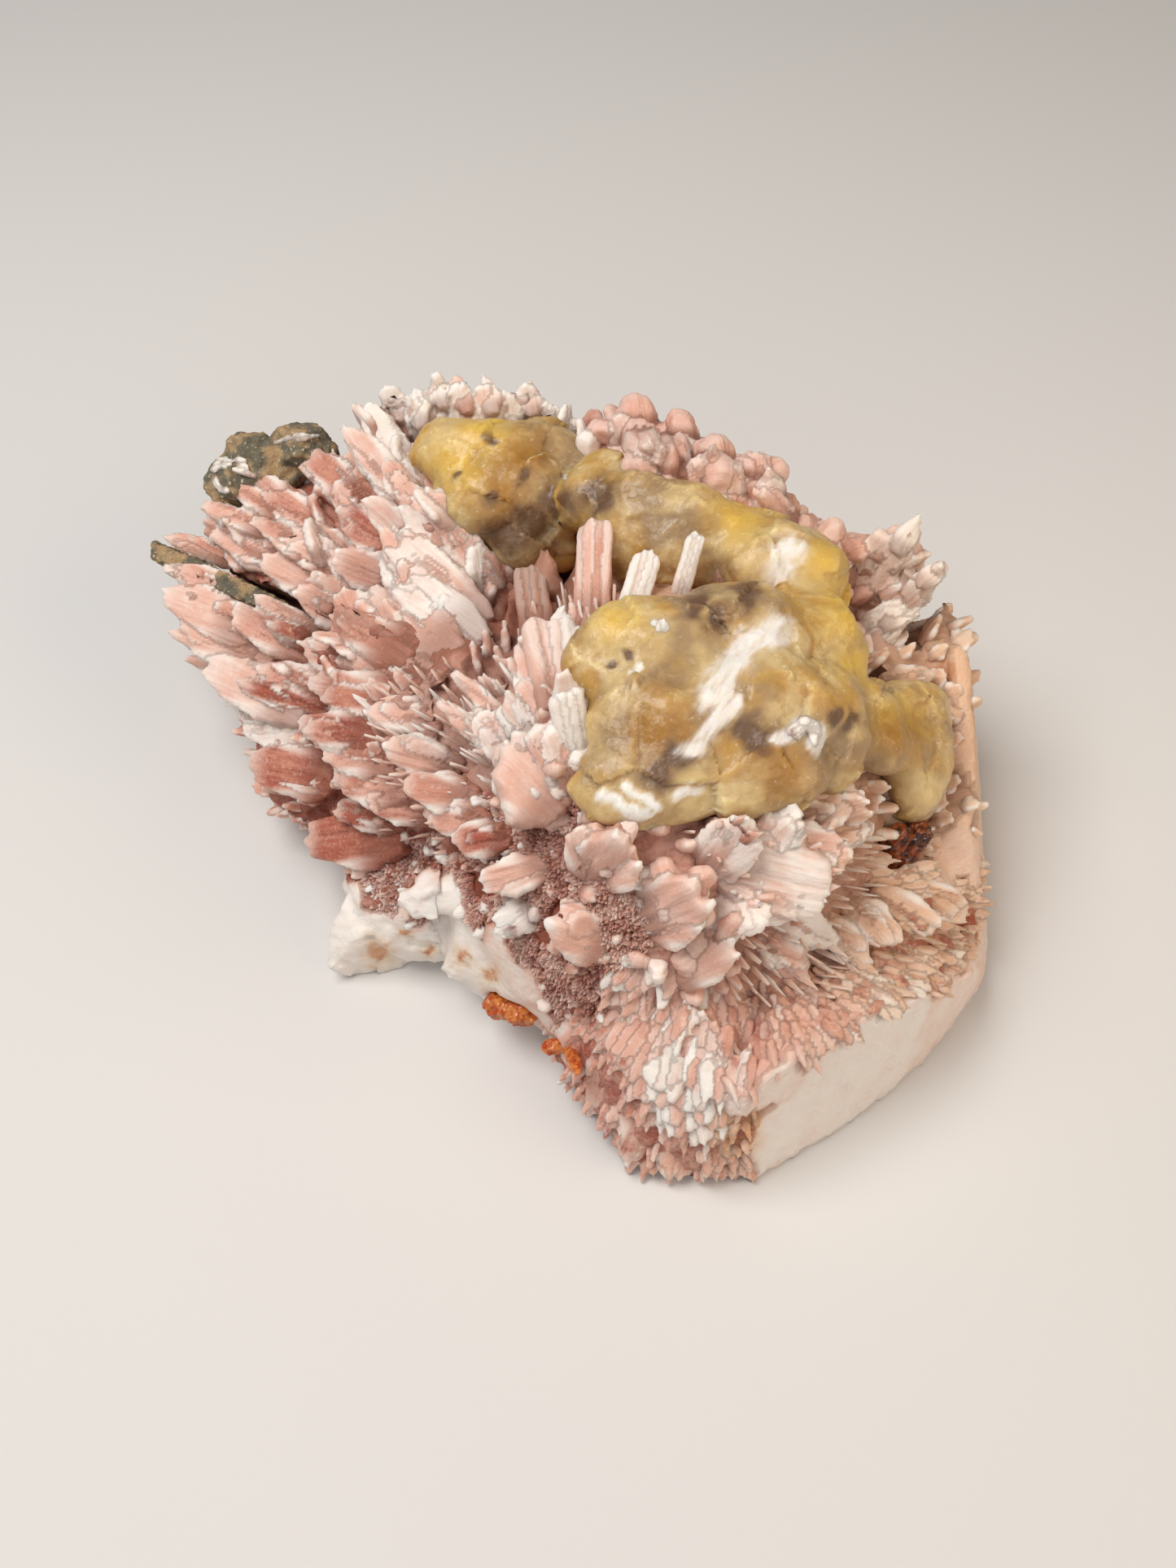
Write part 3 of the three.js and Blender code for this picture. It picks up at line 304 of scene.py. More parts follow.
zonePlaces = [onSurface(*zone[:2]) for zone in zones]
zonePlaces = np.array(zonePlaces + [np.array(zone[:3], float) + shift for zone in hiddenZones])
zoneKinds = np.array([zone[2] for zone in zones] + [zone[3] for zone in hiddenZones])
zoneValues = np.array([zone[3:] for zone in zones] + [zone[4:] for zone in hiddenZones], float)
border = {"wobble": 1.6, "wobbleWidth": 5, "softness": 1.5, "sharpness": 4}  # of the zones, in mm
print("zones placed:", len(zoneKinds))


def zoneAt(points, wobble=border["wobble"]):
    # nearest zone with a ragged border, and the blended values of those around it
    ragged = points + np.stack([waves(points, border["wobbleWidth"], 40 + i) for i in range(3)], 1) * wobble
    kinds = np.empty(len(points), zoneKinds.dtype)
    values = np.empty((len(points), zoneValues.shape[1]))
    atOnce = 20000  # points, so that the table of distances stays small
    for start in range(0, len(points), atOnce):
        part = slice(start, start + atOnce)
        gap = ((ragged[part, None, :] - zonePlaces[None]) ** 2).sum(2)
        kinds[part] = zoneKinds[gap.argmin(1)]
        weight = 1 / (gap + border["softness"]) ** border["sharpness"]
        values[part] = (weight @ zoneValues) / weight.sum(1, keepdims=True)
    return kinds, values


# Meshes

def makeObject(name, verts, faces, attributes=None, smooth=True):
    mesh = bpy.data.meshes.new(name)
    inBox = np.clip(verts, boxLow, boxHigh)
    mesh.from_pydata((inBox * mm).tolist(), [], faces if isinstance(faces, list) else faces.tolist())
    for key, values in (attributes or {}).items():
        kept = np.ascontiguousarray(values, np.float32)
        if kept.ndim == 2:
            mesh.attributes.new(key, "FLOAT_VECTOR", "POINT").data.foreach_set("vector", kept.ravel())
        else:
            mesh.attributes.new(key, "FLOAT", "POINT").data.foreach_set("value", kept)
    mesh.update()
    if smooth:
        mesh.polygons.foreach_set("use_smooth", np.ones(len(mesh.polygons), bool))
    obj = bpy.data.objects.new(name, mesh)
    bpy.context.scene.collection.objects.link(obj)
    return obj


def settle(obj, material, slotName, *replaced):
    obj.data.materials.clear()
    obj.data.materials.append(material)
    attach(obj, "root")
    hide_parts(*replaced)
    obj.data.calc_loop_triangles()
    print("made", obj.name, "triangles", len(obj.data.loop_triangles))


def remeshed(name, voxel, meshes, swell=0.0):
    # meshes welded and swollen a little, as one fine even skin: vertices, quads and normals, in mm
    joined = bmesh.new()
    for mesh in meshes:
        joined.from_mesh(mesh)
    bmesh.ops.remove_doubles(joined, verts=joined.verts, dist=0.001 * mm)
    joined.normal_update()
    for vertex in joined.verts:
        vertex.co += vertex.normal * swell * mm
    mesh = bpy.data.meshes.new(name + "Form")
    joined.to_mesh(mesh)
    joined.free()
    obj = bpy.data.objects.new(name + "Form", mesh)
    bpy.context.scene.collection.objects.link(obj)
    skin = obj.modifiers.new("skin", "REMESH")
    skin.mode = "VOXEL"
    skin.voxel_size = voxel * mm
    done = obj.evaluated_get(bpy.context.evaluated_depsgraph_get()).to_mesh()
    count = len(done.vertices)
    points = np.empty(count * 3)
    done.vertices.foreach_get("co", points)
    normals = np.empty(count * 3)
    done.vertices.foreach_get("normal", normals)
    quads = np.empty(len(done.polygons) * 4, int)
    done.polygons.foreach_get("vertices", quads)
    bpy.data.objects.remove(obj)
    return withoutCrumbs(points.reshape(-1, 3) / mm, quads.reshape(-1, 4), normals.reshape(-1, 3))


def withoutCrumbs(points, quads, normals, least=60):
    # loose crumbs of the voxel skin are left out
    label = np.arange(len(points))
    while True:
        lowest = label[quads].min(1)
        newer = label.copy()
        for k in range(4):
            np.minimum.at(newer, quads[:, k], lowest)
        newer = newer[newer]
        if (newer == label).all():
            break
        label = newer
    keep = np.bincount(label, minlength=len(points))[label] >= least
    place = np.cumsum(keep) - 1
    return points[keep], place[quads[keep[quads[:, 0]]]], normals[keep]


def relaxed(points, quads, rounds):
    # each vertex drawn to the mean of its neighbours
    pairs = np.concatenate([np.stack([quads[:, i], quads[:, (i + 1) % 4]], 1) for i in range(4)])
    total = np.bincount(pairs.ravel(), minlength=len(points))
    for _ in range(rounds):
        summed = np.zeros_like(points)
        for k in range(3):
            summed[:, k] = np.bincount(pairs[:, 0], points[pairs[:, 1], k], len(points))
            summed[:, k] += np.bincount(pairs[:, 1], points[pairs[:, 0], k], len(points))
        points = 0.5 * points + 0.5 * summed / total[:, None]
    return points


def chipped(points, voxel, apart, tilt, seed):
    # a broken skin: each vertex lies on the tilted chip of its nearest centre
    dice = makeDice(seed)
    centres = points[dice.choice(len(points), int(len(points) * voxel ** 2 / apart ** 2) + 1, replace=False)]
    tree = KDTree(len(centres))
    for i, centre in enumerate(centres):
        tree.insert(Vector(centre), i)
    tree.balance()
    owner = np.array([tree.find(Vector(p))[1] for p in points])
    tilts = dice.normal(size=centres.shape) * tilt
    steps = dice.uniform(-0.5, 0.5, len(centres)) * tilt * apart
    return ((points - centres[owner]) * tilts[owner]).sum(1) + steps[owner]


def spotted(places, spots):
    # 1 at the middle of each spot u, v, radius, and soft around it
    most = np.zeros(len(places))
    for u, v, radius in spots:
        most = np.maximum(most, np.exp(-(np.linalg.norm(places - (u, v), axis=1) / radius) ** 2))
    return most


def pyramids(feet, ways, sizes, colours, seed):
    # many small four-sided grains at once, each leaning a little its own way
    dice = makeDice(seed)
    ways = unit(ways + dice.normal(size=ways.shape) * 0.3)
    first = unit(np.cross(ways, dice.normal(size=ways.shape)))
    second = np.cross(ways, first)
    low = feet - ways * sizes[:, None] * 0.4
    spokes = [first, second, -first, -second]
    corners = [low + spoke * sizes[:, None] for spoke in spokes]
    verts = np.stack(corners + [feet + ways * sizes[:, None] * 1.3], 1)
    sides = np.array([[0, 1, 4], [1, 2, 4], [2, 3, 4], [3, 0, 4], [0, 3, 2], [0, 2, 1]])
    faces = (sides[None] + (np.arange(len(feet)) * 5)[:, None, None]).reshape(-1, 3)
    points = verts.reshape(-1, 3)
    attributes = {key: np.repeat(values, 5) for key, values in colours.items()}
    attributes["rim"] = np.tile([0, 0, 0, 0, 0.25], len(feet))
    # low: painted shade at each grain's foot
    attributes["low"] = np.tile([0.3, 0.3, 0.3, 0.3, 0], len(feet))
    attributes["grain"] = points
    return points, faces, attributes


# Tongues: flat blades with a lobed outline, made of ridged columns that end unevenly

tongue = {
    "outline": [(0.0, 0.55), (0.3, 0.8), (0.65, 1.0), (0.9, 1.0), (1.0, 0.9)],  # shares of length and width
    "bluntness": 3.2,  # the power by which the tip's ends fall back
    "thinning": 0.15,  # how much thinner the tip is than the root
    "ridge": 0.22,  # how uneven the columns stand
    "serration": 0.12,  # how uneven the margins are
    "rimWidth": 1.15,  # in mm, at the most
    "rimShare": 0.46,  # and as a share of the half width
    "curl": 0.35,  # how far they bend toward one face, at the most
}
tongueKeys = ["root", "tip", "wide", "half", "thick", "ragged", "rounding", "edging"]
# the last of these is brown painted shade
colourKeys = ["pale", "brick", "warm", "paintedShade"]


def stacked(rows):
    return {key: np.array([row[i] for row in rows], float) for i, key in enumerate(tongueKeys + colourKeys)}


def tongueMesh(t, columns, rings, seed, outline=tongue["outline"]):
    dice = makeDice(seed)
    count = len(t["root"])
    axis = t["tip"] - t["root"]
    thicks = unit(np.cross(unit(axis), t["wide"]))
    places = np.linspace(-1, 1, columns)
    uneven = t["ragged"][:, None] * dice.uniform(0, 1, (count, columns)) ** 2
    reach = 1 - t["rounding"][:, None] * np.abs(places) ** tongue["bluntness"] - uneven
    ridges = 1 + tongue["ridge"] * dice.uniform(-1, 1, (count, columns))
    bends = dice.uniform(-tongue["curl"], tongue["curl"], count)
    shares = np.linspace(0, 1, rings)
    wide = np.interp(shares, [o[0] for o in outline], [o[1] for o in outline])
    notches = 1 + tongue["serration"] * dice.uniform(-1, 1, (count, rings, 2))
    loop = [(j, 1) for j in range(columns)] + [(j, -1) for j in reversed(range(columns))]
    points = np.empty((count, rings * len(loop), 3))
    for i, share in enumerate(shares):
        for k, (j, side) in enumerate(loop):
            margin = notches[:, i, 0 if places[j] < 0 else 1] if abs(places[j]) > 0.99 else 1.0
            sideways = places[j] * wide[i] * t["half"] * margin
            crown = math.sqrt(1 - 0.65 * places[j] ** 2) * (1 - tongue["thinning"] * share)
            crown = crown * (1 - np.minimum(t["rounding"], 0.5) * share ** 5)
            lift = side * t["thick"] * crown * ridges[:, j] + bends * t["half"] * share ** 2
            length = (share * reach[:, j])[:, None]
            across = t["wide"] * sideways[:, None] + thicks * lift[:, None]
            points[:, i * len(loop) + k] = t["root"] + axis * length + across
    size = len(loop)
    faces = []
    for i in range(rings - 1):
        for k in range(size):
            n = (k + 1) % size
            faces.append([i * size + k, i * size + n, (i + 1) * size + n, (i + 1) * size + k])
    last = (rings - 1) * size
    for k in range(columns - 1):
        faces.append([last + k, last + k + 1, last + size - 2 - k, last + size - 1 - k])
        faces.append([size - 1 - k, size - 2 - k, k + 1, k])
    starts = np.arange(count) * rings * size
    quads = (np.array(faces)[None] + starts[:, None, None]).reshape(-1, 4).tolist()
    return points.reshape(-1, 3), quads, rings * size, len(faces)


def tongueValues(t, owner, points, outline=tongue["outline"]):
    # where points lie on their own tongues: pale rim, painted shade at the root (low), colours, and the way of
    # the fibres
    axis = (t["tip"] - t["root"])[owner]
    length = np.linalg.norm(axis, axis=1)
    offset = points - t["root"][owner]
    share = (offset * axis).sum(1) / length ** 2
    lateral = (offset * t["wide"][owner]).sum(1)
    halfHere = np.interp(share, [o[0] for o in outline], [o[1] for o in outline]) * t["half"][owner]
    aside = np.clip(np.abs(lateral) / halfHere, 0, 1)
    toTip = (1 - share / (1 - t["rounding"][owner] * aside ** tongue["bluntness"])) * length
    rimWidth = np.minimum(tongue["rimWidth"], t["half"][owner] * tongue["rimShare"])
    rim = 1 - eased(np.minimum((1 - aside) * halfHere, toTip) / rimWidth, 0.25, 1.0)
    rim = np.maximum(rim * eased(share, 0.15, 0.6), 0.6 * eased(share, 0.7, 1.0))
    # low: painted shade toward the root, where the tongues crowd
    values = {"rim": rim * t["edging"][owner], "low": 1 - eased(share, 0.15, 0.65)}
    for key in colourKeys:
        values[key] = t[key][owner]
    values["grain"] = np.stack([lateral, share * length * 0.12, owner * 3.7], 1)
    return values


def looseTongues(name, rows, columns, rings, seed):
    t = stacked(rows)
    points, faces, perTongue, _ = tongueMesh(t, columns, rings, seed)
    owner = np.repeat(np.arange(len(rows)), perTongue)
    return makeObject(name, points, faces, tongueValues(t, owner, points))


def fusedTongues(name, rows, look, seed):
    # tongues grown together: one soft skin, on which each vertex still knows its nearest tongue
    t = stacked(rows)
    outline = look.get("outline", tongue["outline"])
    points, faces, _, perTongue = tongueMesh(t, 11, 8, seed, outline)
    raw = bpy.data.meshes.new(name + "Raw")
    raw.from_pydata((points * mm).tolist(), [], faces)
    tree = BVHTree.FromPolygons(points.tolist(), faces)
    skin, quads, normals = remeshed(name, look["voxel"], [raw])
    skin = relaxed(skin, quads, look["softening"])
    owner = np.array([tree.find_nearest(Vector(p))[2] for p in skin]) // perTongue
    values = tongueValues(t, owner, skin, outline)
    grooves = waves(values["grain"], look["grooveWidth"], seed, 12)
    scallops = waves(skin, look["scallopWidth"], seed + 1, 12)
    lift = look["groove"] * grooves + values["rim"] * (look["scallop"] * scallops + look["rimLift"])
    return makeObject(name, skin + normals * lift[:, None], quads, values)


def insideStilbite(foot, way, length, near=0.7, ahead=1.0):
    # true where a blade would start under the stilbite or run into it
    start = Vector(foot)
    if stilbiteTree.ray_cast(start, Vector(way), length + ahead)[0] is not None:
        return True
    return stilbiteTree.find_nearest(start)[3] < near


# Materials

def toLinear(hexColour):
    parts = [int(hexColour[i:i + 2], 16) / 255 for i in (1, 3, 5)]
    return tuple(p / 12.92 if p <= 0.04045 else ((p + 0.055) / 1.055) ** 2.4 for p in parts) + (1.0,)


def addNode(tree, kind, inputs=None, output=0, **settings):
    # an input is a value or the socket that feeds it; what comes back is one of the node's outputs
    node = tree.nodes.new(kind)
    for key, value in settings.items():
        setattr(node, key, value)
    for key, value in (inputs or {}).items():
        if isinstance(value, bpy.types.NodeSocket):
            tree.links.new(value, node.inputs[key])
        else:
            node.inputs[key].default_value = value
    return node.outputs[output] if node.outputs else node


def startMaterial(name):
    material = bpy.data.materials.new(name)
    material.use_nodes = True
    material.node_tree.nodes.clear()
    return material, material.node_tree


def readMarks(tree, attributes, lumps):
    # what the mesh says of each place, and noise about zero with lumps of a size in mm
    marks = {key: addNode(tree, "ShaderNodeAttribute", {}, "Fac", attribute_name=key) for key in attributes}
    place = addNode(tree, "ShaderNodeTexCoord", {}, "Object")
    for key, (size, detail) in lumps.items():
        inputs = {"Vector": place, "Scale": 1 / (size * mm), "Detail": detail}
        noise = addNode(tree, "ShaderNodeTexNoise", inputs, "Fac")
        marks[key] = addNode(tree, "ShaderNodeMath", {0: noise, 1: 0.5}, operation="SUBTRACT")
    return marks


def layColours(tree, marks, look, base, layers):
    # colours over each other: each shows where its mark goes from a low to a high value, up to a share
    colour = toLinear(look[base])
    for key, mark, low, high, most in layers:
        course = "LINEAR" if (low, high) == (0, 1) else "SMOOTHSTEP"
        span = {0: marks[mark], 1: low, 2: high, 4: most}
        share = addNode(tree, "ShaderNodeMapRange", span, interpolation_type=course)
        colours = {0: share, 6: colour, 7: toLinear(look[key])}
        colour = addNode(tree, "ShaderNodeMix", colours, 2, data_type="RGBA")
    return colour


mordeniteLook = {
    "salmon": "#cb8a72", "shell": "#e2b4a2", "white": "#f3eae2", "brick": "#a0452e",
    "cream": "#e6c7a2", "orange": "#d08a55", "shadow": "#7a4330",
    "roughness": 0.62, "bump": 0.75, "fibreDepth": 1.3, "frost": 0.22,
    "fibre": 0.45,  # in mm; real fibres are finer, and are drawn this coarse so that they show
    "lumps": {"mottle": (3.0, 3.0), "grit": (0.5, 4.0), "specks": (0.35, 3.0)},  # size in mm, detail
}


def silkyMordenite(name, mottling):
    # grown zeolite, fibrous and silky: soft pink, light scattered inside, chalk-white rims and breaks
    # its colour has brown painted shade at the roots of blades, in crevices and under crystals
    look = mordeniteLook
    material, tree = startMaterial(name)
    marks = readMarks(tree, ("pale", "brick", "warm", "paintedShade", "rim", "low"), look["lumps"])
    along = addNode(tree, "ShaderNodeAttribute", {}, "Vector", attribute_name="grain")
    inputs = {"Vector": along, "Scale": 1 / look["fibre"], "Detail": 3.0}
    fibres = addNode(tree, "ShaderNodeTexNoise", inputs, "Fac")
    marks["fibres"] = addNode(tree, "ShaderNodeMath", {0: fibres, 1: 0.5}, operation="SUBTRACT")
    additions = (  # which mark, what is added to it and how much of that
        ("pale", "mottle", mottling), ("pale", "fibres", mottling * 0.55), ("brick", "grit", 0.6),
        # low adds painted shade toward the roots of the blades
        ("brick", "fibres", 0.9), ("brick", "mottle", 0.9), ("brick", "rim", -0.7), ("paintedShade", "low", 0.7),
    )
    for mark, other, weight in additions:
        terms = {0: marks[other], 1: weight, 2: marks[mark]}
        marks[mark] = addNode(tree, "ShaderNodeMath", terms, operation="MULTIPLY_ADD")
    colour = layColours(tree, marks, look, "salmon", (
        ("shell", "pale", 0.15, 0.75, 1), ("white", "pale", 0.72, 1.15, 1),
        ("cream", "warm", 0.1, 0.8, 0.6), ("orange", "warm", 0.65, 1.0, 0.7),
        ("brick", "brick", 0.35, 1.0, 0.85), ("white", "rim", 0, 1, 0.95),
        # the shadow colour is laid as painted shade
        ("white", "specks", 0.06, 0.18, look["frost"]), ("shadow", "paintedShade", 0.2, 1.0, 0.7),
    ))
    deep = addNode(tree, "ShaderNodeMath", {0: marks["fibres"], 1: look["fibreDepth"]}, operation="MULTIPLY")
    height = addNode(tree, "ShaderNodeMath", {0: marks["grit"], 1: 0.5, 2: deep}, operation="MULTIPLY_ADD")
    bump = {"Strength": look["bump"], "Distance": 0.2 * mm, "Height": height}
    bump = addNode(tree, "ShaderNodeBump", bump)
    shader = addNode(tree, "ShaderNodeBsdfPrincipled", {
        "Base Color": colour, "Normal": bump, "Roughness": look["roughness"], "IOR": 1.48,
        "Subsurface Weight": 0.4, "Subsurface Radius": (1.0, 0.75, 0.6), "Subsurface Scale": 1.2 * mm,
    })
    addNode(tree, "ShaderNodeOutputMaterial", {0: shader})
    return material


bladeMaterial = silkyMordenite("silkyMordeniteBlades", 0.55)
bodyMaterial = silkyMordenite("silkyMordeniteBody", 0.3)

# Mordenite body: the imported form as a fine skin, roughened where crystals grow and smooth where it is broken

body = {  # in mm
    "voxel": 0.85, "toothVoxel": 0.4, "toothSwell": 0.35, "crystalRelief": 0.45, "wallRelief": 0.14,
    "bareRidges": 0.1, "fanRelief": 0.4, "ledge": 0.9,
    "drawnBack": 0.65,  # where crystals grow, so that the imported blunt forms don't show between them
    "drawnBackBare": 0.15,
    "paintedShadeBelow": 0.6,  # painted shade: how much darker it is under the crystals
    "toothChips": ((5, 0.05, 32), (1.8, 0.05, 33)),  # how far apart, tilt, seed
}
# the broken back shows several sprays cut through, each with its own low middle, and small ledges between
fanPlaces = np.array([
    [20, -4, 4], [-18, 40, 8], [-4, 44, 22], [8, 38, 2], [20, 34, 22], [28, 24, 6], [-8, 44, -4],
    [36, 8, 14], [0, 15, 8],
], float) + shift
stains = [  # brick-red and orange stains on the smooth white parts: u, v, radius
    (-22.4, -18, 1.7), (-23.6, -9.6, 1.2), (-22, -11, 1), (-19.6, -16, 0.8), (-16.8, -17.8, 0.9),
    (-13.6, -18.4, 1.2), (-10.6, -20.4, 1.2), (38.4, 12, 0.7), (38.2, 6, 0.6), (40.6, -15.6, 1.2),
    (17, -38, 1.6),
]


def bodySkin(name, voxel, mesh, swell, chips):
    points, quads, normals = remeshed(name, voxel, [mesh], swell)
    kinds, values = zoneAt(points)
    grown = ~np.isin(kinds, ["bare", "broken"])
    wobbly = points + np.stack([waves(points, 7, 30 + i) for i in range(3)], 1) * 1.5
    gaps = ((wobbly[:, None, :] - fanPlaces[None]) ** 2).sum(2)
    cell = np.where(kinds == "broken", 1 + gaps[:, 1:].argmin(1), 0)
    cell[grown] = len(fanPlaces) - 1
    fanWays = unit(points - fanPlaces[cell])
    ledges = makeDice(31).uniform(-1, 0.4, len(fanPlaces))[cell] * (kinds == "broken")
    ridges = waves(fanWays * 22 + cell[:, None] * 9.0, 2.2, 3, 16)
    rough = waves(points, 2.2, 1, 14) * 0.6 + waves(points, 1.4, 2, 14) * 0.5
    relief = np.where(grown, body["crystalRelief"] * rough, body["wallRelief"] * rough)
    bare = kinds == "bare"
    relief = relief + np.where(bare, body["bareRidges"], body["fanRelief"]) * ridges + body["ledge"] * ledges
    for chip in chips:
        relief[bare] += chipped(points[bare], voxel, *chip)
    low = points[:, 2] < 0.4
    points = points + normals * (relief - np.where(grown, body["drawnBack"], body["drawnBackBare"]))[:, None]
    points[low, 2] = np.maximum(points[low, 2], 0)
    patches = np.where(kinds == "broken", eased(waves(points, 14, 91, 14), 0.5, 1.4) * 0.8, 0)
    facing = np.clip((normals @ towardEye) * 3, 0, 1)
    ragged = np.stack(seenAt(points), 1) + np.stack([waves(points, 1.6, 60 + i) for i in range(2)], 1) * 0.5
    stained = facing * spotted(ragged, stains)
    # paintedShade: the zone's painted shade, and more of it under the crystals
    skin = makeObject(name, points, quads, {
        "pale": values[:, 2] - patches * 0.4, "brick": values[:, 3] + patches + 0.25 * grown + 0.5 * stained,
        "warm": values[:, 4] + 0.9 * stained, "paintedShade": values[:, 5] + body["paintedShadeBelow"] * grown,
        "rim": np.zeros(len(points)), "low": np.zeros(len(points)), "grain": fanWays * 20,
    })
    settle(skin, bodyMaterial, "mordenite", "mordenite")
    return points, quads


# the broken tooth at the lower left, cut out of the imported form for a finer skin
toothForm = bmesh.new()
toothForm.from_mesh(nodes["mordenite"].data)
bmesh.ops.remove_doubles(toothForm, verts=toothForm.verts, dist=0.001 * mm)
for corner, way in (((-16, 0, 0), (1, 0, 0)), ((0, 6, 0), (0, 1, 0))):
    whole = toothForm.verts[:] + toothForm.edges[:] + toothForm.faces[:]
    place = (np.array(corner, float) + shift) * mm
    cut = bmesh.ops.bisect_plane(toothForm, geom=whole, plane_co=place, plane_no=way, clear_outer=True)
    bmesh.ops.holes_fill(toothForm, edges=[e for e in cut["geom_cut"] if isinstance(e, bmesh.types.BMEdge)])
toothMesh = bpy.data.meshes.new("toothForm")
toothForm.to_mesh(toothMesh)
toothForm.free()
bodySkin("mordeniteTooth", body["toothVoxel"], toothMesh, body["toothSwell"], body["toothChips"])
points, quads = bodySkin("mordeniteBody", body["voxel"], nodes["mordenite"].data, 0.0, ())

# Mordenite blades and knobs that stand out, as tongues

hero = {
    "sink": 2.0, "roll": 0.3, "ragged": 0.2, "edging": 1.0, "swell": 1.35, "leastThickness": 0.68,
    "layerShare": (1.0, 0.88, 0.76), "layerWidth": (0.5, 0.36, 0.3), "apart": 0.42,
}
rod = {  # shares of a rod's length and width
    "side": 4, "uneven": 0.09, "stepped": 0.02, "apart": 0.26, "half": 0.19, "thick": 0.3,
    "ragged": 0.05, "rounding": 0.08, "edging": 0.5,
}
bareKnobs = [(-21, -11.2), (-15.2, -21.3), (-8.2, -25.6)]  # these are broken white stumps
prismTips = [  # these are square-ended rods
    (0.8, 28.9), (6.6, 25.3), (11.8, 27.3), (-6.4, 23.6), (-4.3, 18.1), (-2.7, 10.7), (8, 18), (16, 26.6),
    (-19.2, 36.8),
]
dice = makeDice(5)
grownTongues = []  # they are fused into skins, region by region, with the smaller ones that come later
prisms = []
# each table with how many layers a blade has, how thick it is for its width, and how round its end is
tables = ((blades, 3, 0.3, 0.35), (knobs, 2, 0.38, 0.5), (moreBlades, 3, 0.3, 0.4))
for table, layers, flatness, rounding in tables:
    for tipU, tipV, rootU, rootV, width, standOff in table:
        if (tipU, tipV) in bareKnobs:
            continue
        tip = offCore(tipU, tipV, standOff)
        root = offCore(rootU, rootV, 0)
        root = root + unit(sprayCentre - root) * hero["sink"]
        colours = tipColours.get((tipU, tipV))
        if colours is None:
            colours = tuple(zoneAt(tip[None], 1.0)[1][0, 2:])
        upright = (tipU, tipV) in prismTips
        for layer in range(rod["side"] if upright else layers):
            wide = unit(np.cross(unit(tip - root), towardEye))
            turn = dice.uniform(-1, 1) * hero["roll"]
            wide = unit(wide * math.cos(turn) + np.cross(unit(tip - root), wide) * math.sin(turn))
            if upright:  # rods grown side by side, with a stepped end
                share = 1 - rod["uneven"] * dice.uniform(0, 1) - rod["stepped"] * abs(layer - 1.5)
                aside = wide * (layer - 1.5) * rod["apart"] * width
                half = width * rod["half"]
            else:
                share = hero["layerShare"][layer] * dice.uniform(0.95, 1.0)
                aside = wide * dice.uniform(-hero["apart"], hero["apart"]) * width * (layer > 0)
                half = width * hero["swell"] * hero["layerWidth"][layer]
            end = root + (tip - root) * share + aside
            wide = unit(wide - unit(end - root) * (wide @ unit(end - root)))
            pale = colours[0] + dice.uniform(-0.2, 0.2)
            brick = colours[1] * dice.uniform(0.6, 1.15)
            tint = (pale, brick, *colours[2:])
            if upright:
                form = (width * rod["thick"], rod["ragged"], rod["rounding"], rod["edging"])
                prisms.append((root + aside, end, wide, half, *form, *tint))
            else:
                thick = max(half * flatness, hero["leastThickness"])
                form = (thick, hero["ragged"], rounding, hero["edging"])
                grownTongues.append((root, end, wide, half, *form, *tint))
lobe = {  # the rounded ones at the back, lengths in mm
    "sink": 1.0, "standOff": 1.5, "raised": 0.6, "apart": 0.14, "flat": 0.7, "ragged": 0.05, "rounding": 0.5,
    "edging": 0.5, "pale": 0.75, "uneven": 0.15, "tint": (0.05, 0.15, 0.25),  # brick, warm and painted shade, as the back is less lit
}
for tipU, tipV, rootU, rootV, width in lobes:
    root = onSurface(rootU, rootV) - towardEye * lobe["sink"]
    tip = onSurface(tipU, tipV - lobe["raised"]) + towardEye * lobe["standOff"] + upView * lobe["raised"]
    for layer in range(3):
        end = tip + dice.normal(size=3) * lobe["apart"] * width * (layer > 0)
        wide = unit(np.cross(unit(end - root), towardEye + dice.normal(size=3) * 0.2))
        half = width * hero["layerWidth"][layer]
        form = (half * lobe["flat"], lobe["ragged"], lobe["rounding"], lobe["edging"])
        pale = lobe["pale"] + dice.uniform(-lobe["uneven"], lobe["uneven"])
        grownTongues.append((root, end, wide, half, *form, pale, *lobe["tint"]))
print("tongues that stand out:", len(grownTongues), "and prisms:", len(prisms))

# Smaller ones between them, spread over the surface by what grows there

